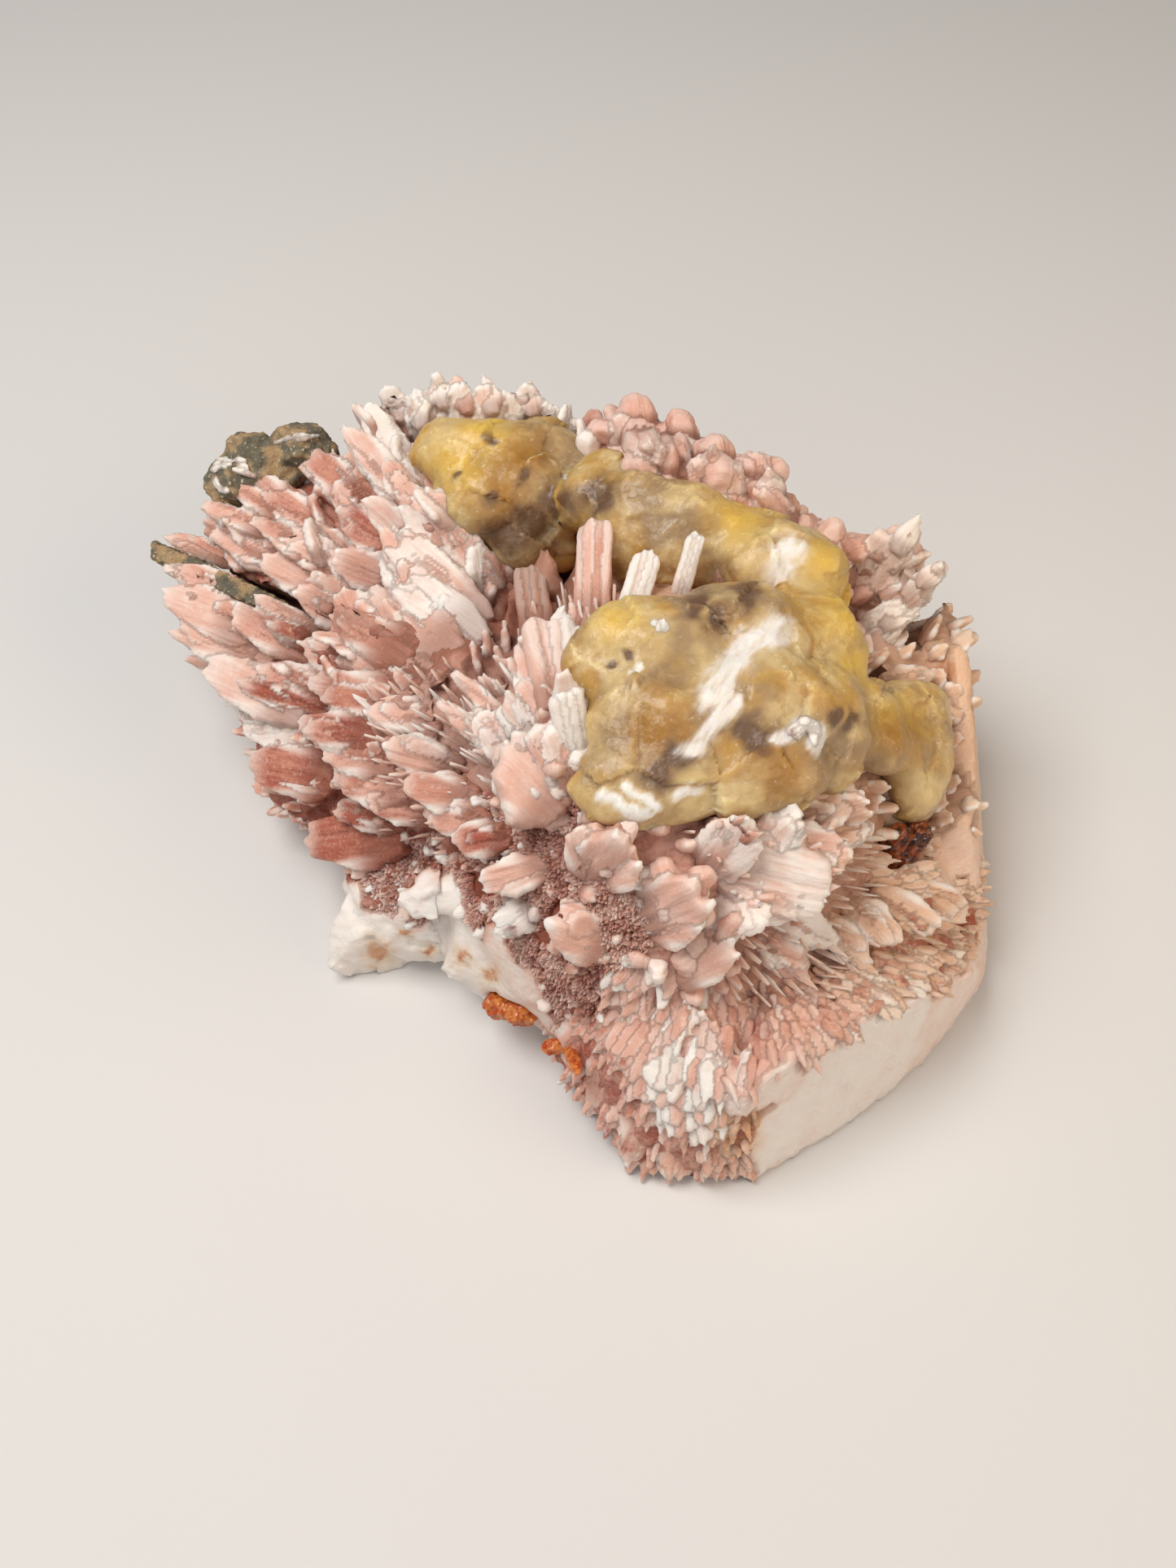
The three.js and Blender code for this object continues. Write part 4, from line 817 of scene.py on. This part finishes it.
# apart: in mm, edging: how white the rims are, lean: how much they follow the spray, flat, least: thickness
# as a share of the width and in mm at the least, scatter: how uneven their ways are, length, half: shares of
# the zone's values, from and to, reach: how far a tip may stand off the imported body, in mm
fillers = {
    "spray": {
        "apart": 2.4, "ragged": 0.25, "rounding": 0.35, "edging": 0.9, "lean": 2.2,
        "flat": 0.3, "least": 0.55, "scatter": 0.08, "length": (0.8, 1.25), "half": (0.5, 0.85),
        "reach": 1.9,
    },
    "fine": {
        "apart": 1.25, "ragged": 0.3, "rounding": 0.3, "edging": 0.5, "lean": 2.2,
        "flat": 0.6, "least": 0.12, "scatter": 0.05, "length": (0.7, 1.3), "half": (0.22, 0.45),
        "reach": 1.9,
    },
    "comb": {
        "apart": 1.05, "ragged": 0.35, "rounding": 0.35, "edging": 0.35, "lean": 2.4,
        "flat": 0.4, "least": 0.38, "scatter": 0.1, "length": (1.1, 1.7), "half": (0.4, 0.7),
        "reach": 1.9,
    },
    "knob": {
        "apart": 2.5, "ragged": 0.06, "rounding": 0.5, "edging": 0.3, "lean": 0.9,
        "flat": 0.7, "least": 0.8, "scatter": 0.15, "length": (1.0, 1.6), "half": (0.65, 1.1),
        "reach": 2.6,
    },
    "druse": {
        "apart": 2.3, "ragged": 0.15, "rounding": 0.5, "edging": 0.9, "lean": 0.4,
        "flat": 0.8, "least": 0.5, "scatter": 0.4, "length": (1.2, 2.0), "half": (0.5, 1.0),
        "reach": 1.9, "paler": 0.55, "redder": 0.35,
    },
}
lowest = 1.5  # nothing grows below this height in mm
offSeam = 2.2  # nor this near to the rock seam
combCentre = onSurface(14, -9)  # the combs at the right and the foot fan out from here
triangles = np.array([t for q in quads for t in ((q[0], q[1], q[2]), (q[0], q[2], q[3]))])
corners = points[triangles]
crosses = np.cross(corners[:, 1] - corners[:, 0], corners[:, 2] - corners[:, 0])
areas = np.linalg.norm(crosses, axis=1) / 2
faceNormals = unit(crosses)
print("surface of the body, mm2:", round(areas.sum()))
dice = makeDice(8)
tries = int(areas.sum() * 1.6)
picks = dice.choice(len(triangles), tries, p=areas / areas.sum())
shares = dice.dirichlet((1, 1, 1), tries)
feet = (corners[picks] * shares[:, :, None]).sum(1)
feetKinds, feetValues = zoneAt(feet)
heroLines = [row[:5] for row in blades + knobs + moreBlades if tuple(row[:2]) not in bareKnobs]
heroLines = np.array(heroLines, float)


def inFrontOfHero(place):
    # true where a place is seen on the outer part of a blade that stands out
    ways = heroLines[:, :2] - heroLines[:, 2:4]
    offsets = np.array(place) - heroLines[:, 2:4]
    share = (offsets * ways).sum(1) / (ways ** 2).sum(1)
    gap = np.linalg.norm(offsets - ways * np.clip(share, 0, 1)[:, None], axis=1)
    return ((share > 0.35) & (share < 1.05) & (gap < 0.5 * heroLines[:, 4])).any()


taken = {kind: np.full((tries, 3), 1e6) for kind in fillers}
counts = dict.fromkeys(fillers, 0)
needles = []
combs = []
for foot, rough, kind, value in zip(feet, faceNormals[picks], feetKinds, feetValues):
    if kind not in fillers or foot[2] < lowest or rough[2] < -0.6:
        continue
    filler = fillers[kind]
    count = counts[kind]
    if count and ((taken[kind][:count] - foot) ** 2).sum(1).min() < filler["apart"] ** 2:
        continue
    normal = np.array(bodyTree.find_nearest(Vector(foot))[1])
    spray = unit(foot - (combCentre if kind == "comb" else sprayCentre))
    if seamTree.find_nearest(Vector(foot))[3] < offSeam:
        continue
    way = unit(spray * filler["lean"] + normal * 0.8 + dice.normal(size=3) * filler["scatter"])
    if kind != "knob" and normal @ towardEye > 0:  # the sprays lie back, so their faces show
        way = unit(way - towardEye * (way @ towardEye) * 0.45)
    length = value[0] * dice.uniform(*filler["length"])
    off = bodyTree.find_nearest(Vector(foot + way * length * 0.7))[3]
    length = length * min(1, filler["reach"] / off)
    half = value[1] * dice.uniform(*filler["half"])
    if insideStilbite(foot, way, length * 0.75):
        continue
    if normal @ towardEye > 0 and inFrontOfHero(np.ravel(seenAt((foot + way * length * 0.5)[None]))):
        continue
    taken[kind][count] = foot
    counts[kind] += 1
    wide = np.cross(way, unit(normal + dice.normal(size=3) * 0.25))
    wide = unit(wide - way * (wide @ way))
    thick = max(half * filler["flat"], filler["least"])
    form = (thick, filler["ragged"], filler["rounding"], filler["edging"])
    pale = value[2] + filler.get("paler", 0) + dice.uniform(-0.25, 0.35)
    brick = value[3] * filler.get("redder", 1) * dice.uniform(0.5, 1.3)
    # the zone's warmth and painted shade go with each filler
    row = (foot - way * length * 0.5, foot + way * length * 0.7, wide, half, *form, pale, brick, *value[4:])
    {"fine": needles, "comb": combs}.get(kind, grownTongues).append(row)
print("in all", len(grownTongues), "grown together,", len(needles), "needles,", len(combs), "comb teeth")

regions = {  # middle of each, u and v
    "Left": (-37, 14), "UpperLeft": (-30, 30), "Centre": (-16, 8), "Top": (-13, 36), "Middle": (-2, 6),
    "Right": (34, 12), "Front": (18, -12), "Foot": (2, -30), "Back": (8, 40), "LowLeft": (-26, -4),
}
seen = np.stack(seenAt(np.array([row[1] for row in grownTongues])), 1)
gaps = np.linalg.norm(seen[:, None] - np.array(list(regions.values()), float)[None], axis=2)
grownLook = {
    "voxel": 0.36, "softening": 2, "grooveWidth": 0.9, "groove": 0.13,
    "scallopWidth": 1.0, "scallop": 0.13, "rimLift": 0.06,
}
for i, region in enumerate(regions):
    part = [row for row, nearest in zip(grownTongues, gaps.argmin(1)) if nearest == i]
    if part:
        name = "mordeniteBlades" + region
        settle(fusedTongues(name, part, grownLook, 40 + i), bladeMaterial, "mordenite", "mordenite")
prismLook = {
    "voxel": 0.3, "softening": 1, "grooveWidth": 0.8, "groove": 0.06,
    "scallopWidth": 1.2, "scallop": 0.06, "rimLift": 0, "outline": [(0.0, 0.9), (0.3, 1.0), (1.0, 1.0)],
}
settle(fusedTongues("mordenitePrisms", prisms, prismLook, 7), bodyMaterial, "mordenite", "mordenite")
combLook = {
    "voxel": 0.33, "softening": 1, "grooveWidth": 1.0, "groove": 0.07,
    "scallopWidth": 1.0, "scallop": 0.1, "rimLift": 0.05, "parting": 18,  # right of this u is one piece
}
combSides = seenAt(np.array([row[1] for row in combs]))[0] > combLook["parting"]
for name, side in (("mordeniteCombRight", True), ("mordeniteCombFoot", False)):
    part = [row for row, rightward in zip(combs, combSides) if rightward == side]
    settle(fusedTongues(name, part, combLook, 60 + side), bladeMaterial, "mordenite", "mordenite")
settle(looseTongues("mordeniteNeedles", needles, 4, 5, 20), bladeMaterial, "mordenite", "mordenite")

# Druse: grains of a few tenths of a millimetre in the dark red pocket

druse = {"least": 0.2, "most": 0.6, "spread": 1.0, "sunk": 0.4, "perFoot": 7}
grainFeet = feet[feetKinds == "druse"]
offsets = [dice.normal(size=grainFeet.shape) * druse["spread"] for _ in range(druse["perFoot"])]
grainFeet = np.concatenate([grainFeet + offset for offset in offsets])
nearest = [bodyTree.find_nearest(Vector(p)) for p in grainFeet]
grainNormals = np.array([n[1] for n in nearest])
grainFeet = np.array([n[0] for n in nearest]) - grainNormals * druse["sunk"]
keep = (zoneAt(grainFeet)[0] == "druse") & (grainFeet[:, 2] > 2.5)
keep &= ~np.array([inFrontOfHero(place) for place in np.stack(seenAt(grainFeet), 1)])
grainFeet = grainFeet[keep]
grainNormals = grainNormals[keep]
size = dice.uniform(druse["least"], druse["most"], len(grainFeet))
_, grainValues = zoneAt(grainFeet)
clumps = waves(grainFeet, 3.5, 95, 12)  # pink-white clumps among dark red ones
rows = {
    "pale": grainValues[:, 2] + 0.4 * clumps + dice.uniform(-0.2, 0.3, len(size)),
    "brick": grainValues[:, 3] - 0.45 * clumps + dice.uniform(-0.3, 0.35, len(size)),
    "warm": grainValues[:, 4],
    # painted shade, less on the pink-white clumps
    "paintedShade": grainValues[:, 5] * 0.5 - 0.25 * clumps + dice.uniform(-0.2, 0.2, len(size)),
}
grains = makeObject("mordeniteDruse", *pyramids(grainFeet, grainNormals, size, rows, 12), smooth=False)
settle(grains, bladeMaterial, "mordenite", "mordenite")

# Stilbite: waxy honey-yellow masses, lit from inside, with white ropes, smoky patches, painted glow and
# painted shade

stilbiteLook = {
    # smokeAndShade: brown of smoky inclusions and of painted shade in the cleft
    "honey": "#c2984f", "deep": "#ab7b32", "milky": "#d6bd8b", "smokeAndShade": "#644636", "rope": "#f1ece6",
    # paintedGlow: the yellow of a painted glow
    "paintedGlow": "#dfba56", "grey": "#a88d69", "roughness": 0.4,
    "lumps": {  # size in mm, detail
        "cloud": (4.0, 3.0), "drift": (7.0, 3.0), "grit": (0.4, 4.0), "frost": (0.5, 3.0),
        "puffs": (1.6, 3.0),
    },
    "faceSize": 0.7, "faceTilt": 0.32,  # crystal faces in mm, and how far they turn
    "voxel": 0.42, "swell": 0.9, "softening": 65, "relief": 0.35,
    "chips": ((6, 0.06, 75), (1.5, 0.035, 76)),  # how far apart in mm, tilt, seed
}
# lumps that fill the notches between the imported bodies: u, v, half size across the view, stand-off
bridges = [
    (4, 25.5, 3.4, 0.5), (9, 25, 3.6, 0.5), (14, 24, 3.4, 0.5), (19.5, 23, 3.2, 0.8), (24.5, 20.5, 3, 1),
    (33.5, 3, 3, 0.4), (34.5, -1, 2.8, 0.4), (36.5, 1.5, 2, 0.4), (-9, 35, 3, 1.5), (2, 32.5, 3, 1.5),
    (5.5, 30.5, 3, 1.5), (12, 28.5, 3, 1.5), (20.8, 24, 3.6, 4.5), (24.2, 22.6, 3.2, 4.5),
    (17.5, 23.4, 3.2, 5.5), (30, 7.5, 2.8, 2), (31, 4, 2.8, 1.6), (36.4, 5, 2.4, 0.3), (36, 8.4, 2.2, 0.3),
    (19, 26, 3, 1.5), (-2.5, 34, 3.2, 1.5), (-1, 31.8, 2.6, 1.2), (-5, 28.4, 3, -0.8),
    (-7.5, 26.6, 2.8, -0.8), (-3, 25.4, 2.6, -1.2),
]
ropes = [  # white under the feathers: points u and v, and half the width
    ([(11, 3.8), (12.8, 5.6), (15.2, 9)], 1.3),
    ([(13.4, 9.6), (15.2, 12.2), (17.4, 15.2), (20.2, 16.4)], 1.9),
    ([(20, 22.8), (21, 24.4), (22.2, 25.2)], 1.7),
    ([(20.5, 4.5), (22, 5.5), (23, 6.6), (24.4, 5.5), (24.3, 3.8)], 0.9), ([(4.4, 11.6), (5.4, 12.4)], 0.5),
    ([(1.6, -1.2), (4, -2.6), (6.4, -3.4)], 0.8), ([(3.8, -0.2), (7.4, -2.4)], 0.7),
    ([(9.4, -1.6), (11.8, -0.4)], 0.7),
]
milks = [  # milky places: u, v, radius
    (6.5, 15.5, 2.4), (18.5, 14.5, 2.6), (22, 15.4, 2.4), (25.4, 14, 2.2), (26, 11.4, 1.6), (13, 12, 2.4),
    (5, -2.5, 4), (12, -1, 3), (21, 24, 2.5), (-15, 37.5, 3), (4, 16, 3), (16, -3, 3), (33, 8, 2),
    (35, 0, 2),
]
# the three in the cleft, at (-6, 28), (-9, 26.6) and (-3.4, 30), are painted shade, the rest brown inclusions
smokySpotsAndShade = [  # smoky patches and painted shade: u, v, radius
    (7.5, 0.8, 2.2), (9.8, 2.8, 1.8), (17, 5.8, 2), (18.4, 4.6, 2.2), (27, 6.8, 1.4), (28.3, 7.2, 0.8),
    (17, 20.2, 1.7), (12, 19.3, 1.7), (1.5, 30.8, 2.2), (2.2, 12.4, 0.7), (4.2, 13.8, 0.7), (-14.4, 33, 0.7),
    (-10.5, 37, 0.8), (-10.5, 30.5, 1), (-7, 32.7, 0.8), (-6, 28, 2.8), (-9, 26.6, 2.6), (-3.4, 30, 2.2),
    (14, 17.5, 1.6),
]
paintedGlowSpots = [  # painted glow, a brighter yellow as if lit through: u, v, radius
    (25, 24, 2.4), (27.5, 20, 2.4), (27.6, 17.2, 2.6), (28.6, 13, 2.2), (-14, 34, 3), (-11, 38, 3),
    (16, 28.5, 3), (3, 17.5, 2.2), (33, 7, 2.4),
]
deeps = [  # deeper honey: u, v, radius
    (8, 6, 4), (-7, 35, 3), (-9, 31, 3.5), (7, 5, 3), (21, 1.4, 3), (33, 5.5, 2.6),
]


def honeyStilbite(name):
    # grown stilbite, waxy and translucent: light spreads far inside and the skin keeps a soft gloss
    # its colour has a painted glow in places and painted shade in the cleft
    look = stilbiteLook
    material, tree = startMaterial(name)
    marks = readMarks(tree, ("milk", "paintedGlow", "deepness", "smokeAndShade", "rope"), look["lumps"])
    clouds = {0: marks["cloud"], 1: -0.08, 2: 0.2}
    clouds = addNode(tree, "ShaderNodeMapRange", clouds, interpolation_type="SMOOTHSTEP")
    marks["milk"] = addNode(tree, "ShaderNodeMath", {0: clouds, 1: marks["milk"]}, operation="ADD")
    along = addNode(tree, "ShaderNodeAttribute", {}, "Vector", attribute_name="streak")
    streaks = addNode(tree, "ShaderNodeTexNoise", {"Vector": along, "Scale": 1.6, "Detail": 3.0}, "Fac")
    # smoke and painted shade come in puffs and the white plume in streaks
    for mark, noise, weight, least in (("smokeAndShade", marks["puffs"], 1, 0.9), ("rope", streaks, 1.9, 0.1)):
        uneven = addNode(tree, "ShaderNodeMath", {0: noise, 1: weight, 2: least}, operation="MULTIPLY_ADD")
        marks[mark] = addNode(tree, "ShaderNodeMath", {0: marks[mark], 1: uneven}, operation="MULTIPLY")
    colour = layColours(tree, marks, look, "honey", (
        ("grey", "drift", -0.1, 0.12, 1), ("milky", "milk", 0, 1, 1), ("paintedGlow", "paintedGlow", 0, 1, 1),
        ("deep", "deepness", 0, 1, 1), ("rope", "frost", 0.16, 0.22, 0.35),
        ("smokeAndShade", "smokeAndShade", 0.05, 0.75, 0.85), ("rope", "rope", 0.12, 1.0, 0.97),
    ))
    bump = addNode(tree, "ShaderNodeBump", {"Strength": 0.35, "Distance": 0.3 * mm, "Height": marks["grit"]})
    # small flat crystal faces: each cell turns the light its own way
    place = addNode(tree, "ShaderNodeTexCoord", {}, "Object")
    cells = {"Vector": place, "Scale": 1 / (look["faceSize"] * mm)}
    turn = {0: addNode(tree, "ShaderNodeTexVoronoi", cells, "Color"), 1: (0.5, 0.5, 0.5)}
    turn = addNode(tree, "ShaderNodeVectorMath", turn, operation="SUBTRACT")
    turn = {0: turn, 1: (look["faceTilt"],) * 3, 2: bump}
    turn = addNode(tree, "ShaderNodeVectorMath", turn, operation="MULTIPLY_ADD")
    turn = addNode(tree, "ShaderNodeVectorMath", {0: turn}, operation="NORMALIZE")
    shader = addNode(tree, "ShaderNodeBsdfPrincipled", {
        "Base Color": colour, "Normal": turn, "Roughness": look["roughness"], "IOR": 1.5,
        "Subsurface Weight": 0.9, "Subsurface Radius": (1.0, 0.8, 0.45), "Subsurface Scale": 3.0 * mm,
        "Coat Weight": 0.15, "Coat Roughness": 0.15,
    })
    addNode(tree, "ShaderNodeOutputMaterial", {0: shader})
    return material


stilbiteMaterial = honeyStilbite("honeyStilbite")


def nearLine(places, line):
    # distance, as seen, from a line of u, v points
    gap = np.full(len(places), 1e9)
    for a, b in zip(np.array(line[:-1], float), np.array(line[1:], float)):
        way = b - a
        share = np.clip(((places - a) @ way) / (way @ way), 0, 1)
        gap = np.minimum(gap, np.linalg.norm(places - a - share[:, None] * way, axis=1))
    return gap


stilbiteMeshes = [nodes[name].data for name in stilbiteNames]
fill = bmesh.new()
for u, v, radius, standOff in bridges:
    place = Matrix.Translation(Vector(offCore(u, v, standOff)) * mm)
    bmesh.ops.create_icosphere(fill, subdivisions=2, radius=radius * mm, matrix=place)
fillMesh = bpy.data.meshes.new("bridges")
fill.to_mesh(fillMesh)
fill.free()
look = stilbiteLook
points, quads, normals = remeshed("stilbite", look["voxel"], stilbiteMeshes + [fillMesh], look["swell"])
points = relaxed(points, quads, look["softening"])
places = np.stack(seenAt(points), 1)
ragged = places + np.stack([waves(points, 2.5, 60 + i) for i in range(2)], 1) * 0.45
facing = np.clip((normals @ towardEye) * 3, 0, 1)  # the marks lie on the side that the picture shows
rope = np.zeros(len(points))
for line, halfWidth in ropes:
    rope = np.maximum(rope, facing * np.exp(-(nearLine(ragged, line) / halfWidth) ** 2))
# brown inclusions, and painted shade in the cleft
smokeAndShade = facing * spotted(ragged, smokySpotsAndShade)
milk = 0.8 * facing * spotted(ragged, milks)
deepness = 0.95 * spotted(ragged, deeps)
# painted glow: brighter yellow spots
paintedGlow = 0.95 * spotted(ragged, paintedGlowSpots)
lumps = waves(points, 7, 70, 12) * 0.55 + waves(points, 1.2, 71, 14) * 0.12
chips = sum(chipped(points, look["voxel"], *chip) for chip in look["chips"])
# how far across and along the white plume each point is, for its streaks
streak = np.stack([places @ (0.84, -0.54), places @ (0.54, 0.84) * 0.2, points[:, 2] * 0.2], 1)
feathers = rope * waves(streak, 1.1, 73, 14)
lift = 0.1 + look["relief"] * lumps + chips + 0.35 * rope + 0.25 * feathers
points = points + normals * lift[:, None]
skinTrees = {"stilbiteMass": BVHTree.FromPolygons(points.tolist(), quads.tolist())}
mass = makeObject("stilbiteMass", points, quads, {
    "rope": rope, "smokeAndShade": smokeAndShade, "deepness": deepness, "milk": milk, "paintedGlow": paintedGlow, "streak": streak,
})
settle(mass, stilbiteMaterial, "stilbite", *stilbiteNames)

# Host rock and the coloured crystals

rockLook = {
    "tan": "#a98d68", "grey": "#6b6454", "pale": "#d8cbb0",
    "lumps": {"patches": (2.5, 3.0), "grit": (0.4, 4.0)},  # size in mm, detail
}
crystalLook = {
    "orangeCrystal": {"shallow": "#e8924a", "deep": "#c2521f"},
    "darkRedCrystal": {"shallow": "#a4552b", "deep": "#4a2413"},
    "lumps": {"bands": (0.9, 3.0), "grit": (0.25, 3.0)},  # size in mm, detail
}


def brokenBasalt(name):
    # broken basalt, granular and dull: tan weathered grains over grey-green, with pale specks
    material, tree = startMaterial(name)
    marks = readMarks(tree, (), rockLook["lumps"])
    layers = (("tan", "patches", -0.08, 0.08, 1), ("pale", "grit", 0.1, 0.22, 1))
    colour = layColours(tree, marks, rockLook, "grey", layers)
    bump = addNode(tree, "ShaderNodeBump", {"Strength": 0.7, "Distance": 0.3 * mm, "Height": marks["grit"]})
    shader = {"Base Color": colour, "Normal": bump, "Roughness": 0.85}
    addNode(tree, "ShaderNodeOutputMaterial", {0: addNode(tree, "ShaderNodeBsdfPrincipled", shader)})
    return material


def glassyCrystal(name):
    # small grown crystals, glassy and full of colour: clear at the edges, stained where they are thick
    material, tree = startMaterial(name)
    marks = readMarks(tree, (), crystalLook["lumps"])
    colour = layColours(tree, marks, crystalLook[name], "shallow", [("deep", "bands", -0.1, 0.1, 1)])
    bump = addNode(tree, "ShaderNodeBump", {"Strength": 0.3, "Distance": 0.1 * mm, "Height": marks["grit"]})
    shader = addNode(tree, "ShaderNodeBsdfPrincipled", {
        "Base Color": colour, "Normal": bump, "Roughness": 0.22, "IOR": 1.5, "Subsurface Weight": 0.4,
        "Subsurface Radius": (1.0, 0.35, 0.1), "Subsurface Scale": 1.0 * mm, "Transmission Weight": 0.25,
    })
    addNode(tree, "ShaderNodeOutputMaterial", {0: shader})
    return material


basalt = brokenBasalt("brokenBasalt")
orange = glassyCrystal("orangeCrystal")
darkRed = glassyCrystal("darkRedCrystal")
others = [  # node, piece, material, slot, then voxel, relief, wavelength of the relief and swell in mm
    ("host_rock_lump", "hostRockLump", basalt, "host_rock", 0.35, 0.32, 1.6, 0.8),
    ("host_rock_seam", "hostRockSeam", basalt, "host_rock", 0.36, 0.3, 1.2, 0.3),
    ("orange_crystals_lower", "orangeCrystalsLower", orange, "orange_crystals", 0.22, 0.18, 0.9, 0.1),
    ("orange_crystal_sliver", "orangeCrystalSliver", orange, "orange_crystals", 0.22, 0.12, 0.9, 0.1),
    ("dark_crystals_pocket", "darkCrystalsPocket", darkRed, "dark_crystals", 0.22, 0.12, 0.9, 0.3),
]
for node, name, material, slotName, voxel, relief, wavelength, swell in others:
    points, quads, normals = remeshed(name, voxel, [nodes[node].data], swell)
    rough = waves(points, wavelength, 80, 14) * 0.6 + waves(points, wavelength / 2, 81, 14) * 0.4
    points = points + normals * (relief * rough)[:, None]
    skinTrees[name] = BVHTree.FromPolygons(points.tolist(), quads.tolist())
    settle(makeObject(name, points, quads, smooth=relief > 0.3), material, slotName, node)

# White feathery strands that lie on the stilbite and the rock: a line u, v, its widths, how many, how warm
wormLine = [(20.3, 4.3), (22, 5.6), (23.2, 6.8), (24.6, 5.6), (24.6, 3.4)]
strands = [
    ("stilbiteMass", wormLine, [1.2, 1.5, 1.5, 1.4, 1], 16, 0.2),
    ("stilbiteMass", [(-2.8, 32.6), (-2.2, 34.8)], [1.6, 1], 4, 0.2),
    ("hostRockLump", [(-41, 33.6), (-38.6, 34.6), (-36, 34.2)], [0.8, 1.2, 0.6], 9, 0.3),
    ("hostRockLump", [(-39.8, 32.8), (-38.8, 31), (-37.6, 29.4)], [0.8, 1.0, 0.6], 8, 0.3),
    ("hostRockLump", [(-33.8, 36.2), (-31, 37.2), (-28.4, 37.2)], [0.8, 1.2, 0.8], 9, 0.3),
]
feather = {"sink": 0.1, "thick": 0.38, "ragged": 0.35, "rounding": 0.5, "edging": 0.6, "pale": 1.25}
featherRows = []
for skinName, line, widths, count, warmth in strands:
    tree = skinTrees[skinName]
    line = np.array(line, float)
    steps = np.arange(len(line)) / (len(line) - 1)
    for _ in range(count):
        start = dice.uniform(-0.05, 0.78)
        aside = dice.uniform(-0.5, 0.5)
        ends = []
        for share in (start, start + dice.uniform(0.2, 0.32)):
            shares = share + np.array([-0.1, 0, 0.1])
            before, here, ahead = np.stack([np.interp(shares, steps, line[:, k]) for k in (0, 1)], 1)
            way = unit(ahead - before)
            ends.append(here + np.array([-way[1], way[0]]) * aside * np.interp(share, steps, widths))
        root = onSurface(*ends[0], tree) - towardEye * feather["sink"]
        tip = onSurface(*ends[1], tree) + towardEye * dice.uniform(0.2, 0.6)
        wide = unit(np.cross(unit(tip - root), towardEye + dice.normal(size=3) * 0.3))
        half = np.interp(start, steps, widths) * dice.uniform(0.1, 0.17) + 0.2
        pale = feather["pale"] + dice.uniform(-0.25, 0.15)
        form = (feather["thick"], feather["ragged"], feather["rounding"], feather["edging"])
        featherRows.append((root, tip, wide, half, *form, pale, 0.0, warmth, 0.0))
settle(fusedTongues("mordeniteFeathers", featherRows, prismLook, 9), bladeMaterial, "mordenite", "mordenite")

# Floor, light and camera

studio = {
    "paper": "#dddbd9", "paperHalf": 1500.0, "paperBelow": 0.02,  # in mm
    "room": "#eeedee", "roomStrength": 0.17,
    "lens": 36.5,  # on a sensor 36 mm along the picture's long side
}
# uncoated paper, pressed flat: it takes soft shadows and shows no gloss
floorMaterial, floorTree = startMaterial("matPaper")
paper = {"Base Color": toLinear(studio["paper"]), "Roughness": 0.9}
addNode(floorTree, "ShaderNodeOutputMaterial", {0: addNode(floorTree, "ShaderNodeBsdfPrincipled", paper)})
floor = makeObject("floor", np.zeros((4, 3)), [[0, 1, 2, 3]], smooth=False)
half = studio["paperHalf"] * mm
for vertex, (x, y) in zip(floor.data.vertices, ((-1, -1), (1, -1), (1, 1), (-1, 1))):
    vertex.co = (x * half, y * half, -studio["paperBelow"] * mm)
floor.data.materials.append(floorMaterial)

lights = [  # name, place and size in mm, power in watts, colour
    ("softWindow", (-150, -10, 380), 220, 1.3, "#fffcf8"),
    ("warmFill", (300, -120, 240), 260, 0.53, "#ffe6c8"),
    ("frontFill", (0, -330, 300), 300, 0.32, "#ffffff"),
]
for name, place, size, power, colour in lights:
    lamp = bpy.data.lights.new(name, "AREA")
    lamp.energy = power
    lamp.size = size * mm
    lamp.color = toLinear(colour)[:3]
    lampObject = bpy.data.objects.new(name, lamp)
    lampObject.location = Vector(place) * mm
    lampObject.rotation_euler = (Vector((0, 0, 20)) - Vector(place)).to_track_quat("-Z", "Y").to_euler()
    bpy.context.scene.collection.objects.link(lampObject)
world = bpy.data.worlds.new("softRoom")
world.use_nodes = True
world.node_tree.nodes["Background"].inputs[0].default_value = toLinear(studio["room"])
world.node_tree.nodes["Background"].inputs[1].default_value = studio["roomStrength"]
bpy.context.scene.world = world

bpy.context.scene.view_settings.view_transform = "Standard"  # keeps the pinks and yellows as mixed
camera = bpy.data.cameras.new("camera")
camera.lens = studio["lens"]
cameraObject = bpy.data.objects.new("camera", camera)
cameraObject.location = Vector(eye) * mm
target = Vector(sight["pivot"] + shift) * mm
cameraObject.rotation_euler = (target - cameraObject.location).to_track_quat("-Z", "Y").to_euler()
bpy.context.scene.collection.objects.link(cameraObject)
bpy.context.scene.camera = cameraObject
print("floor, lights and camera placed")
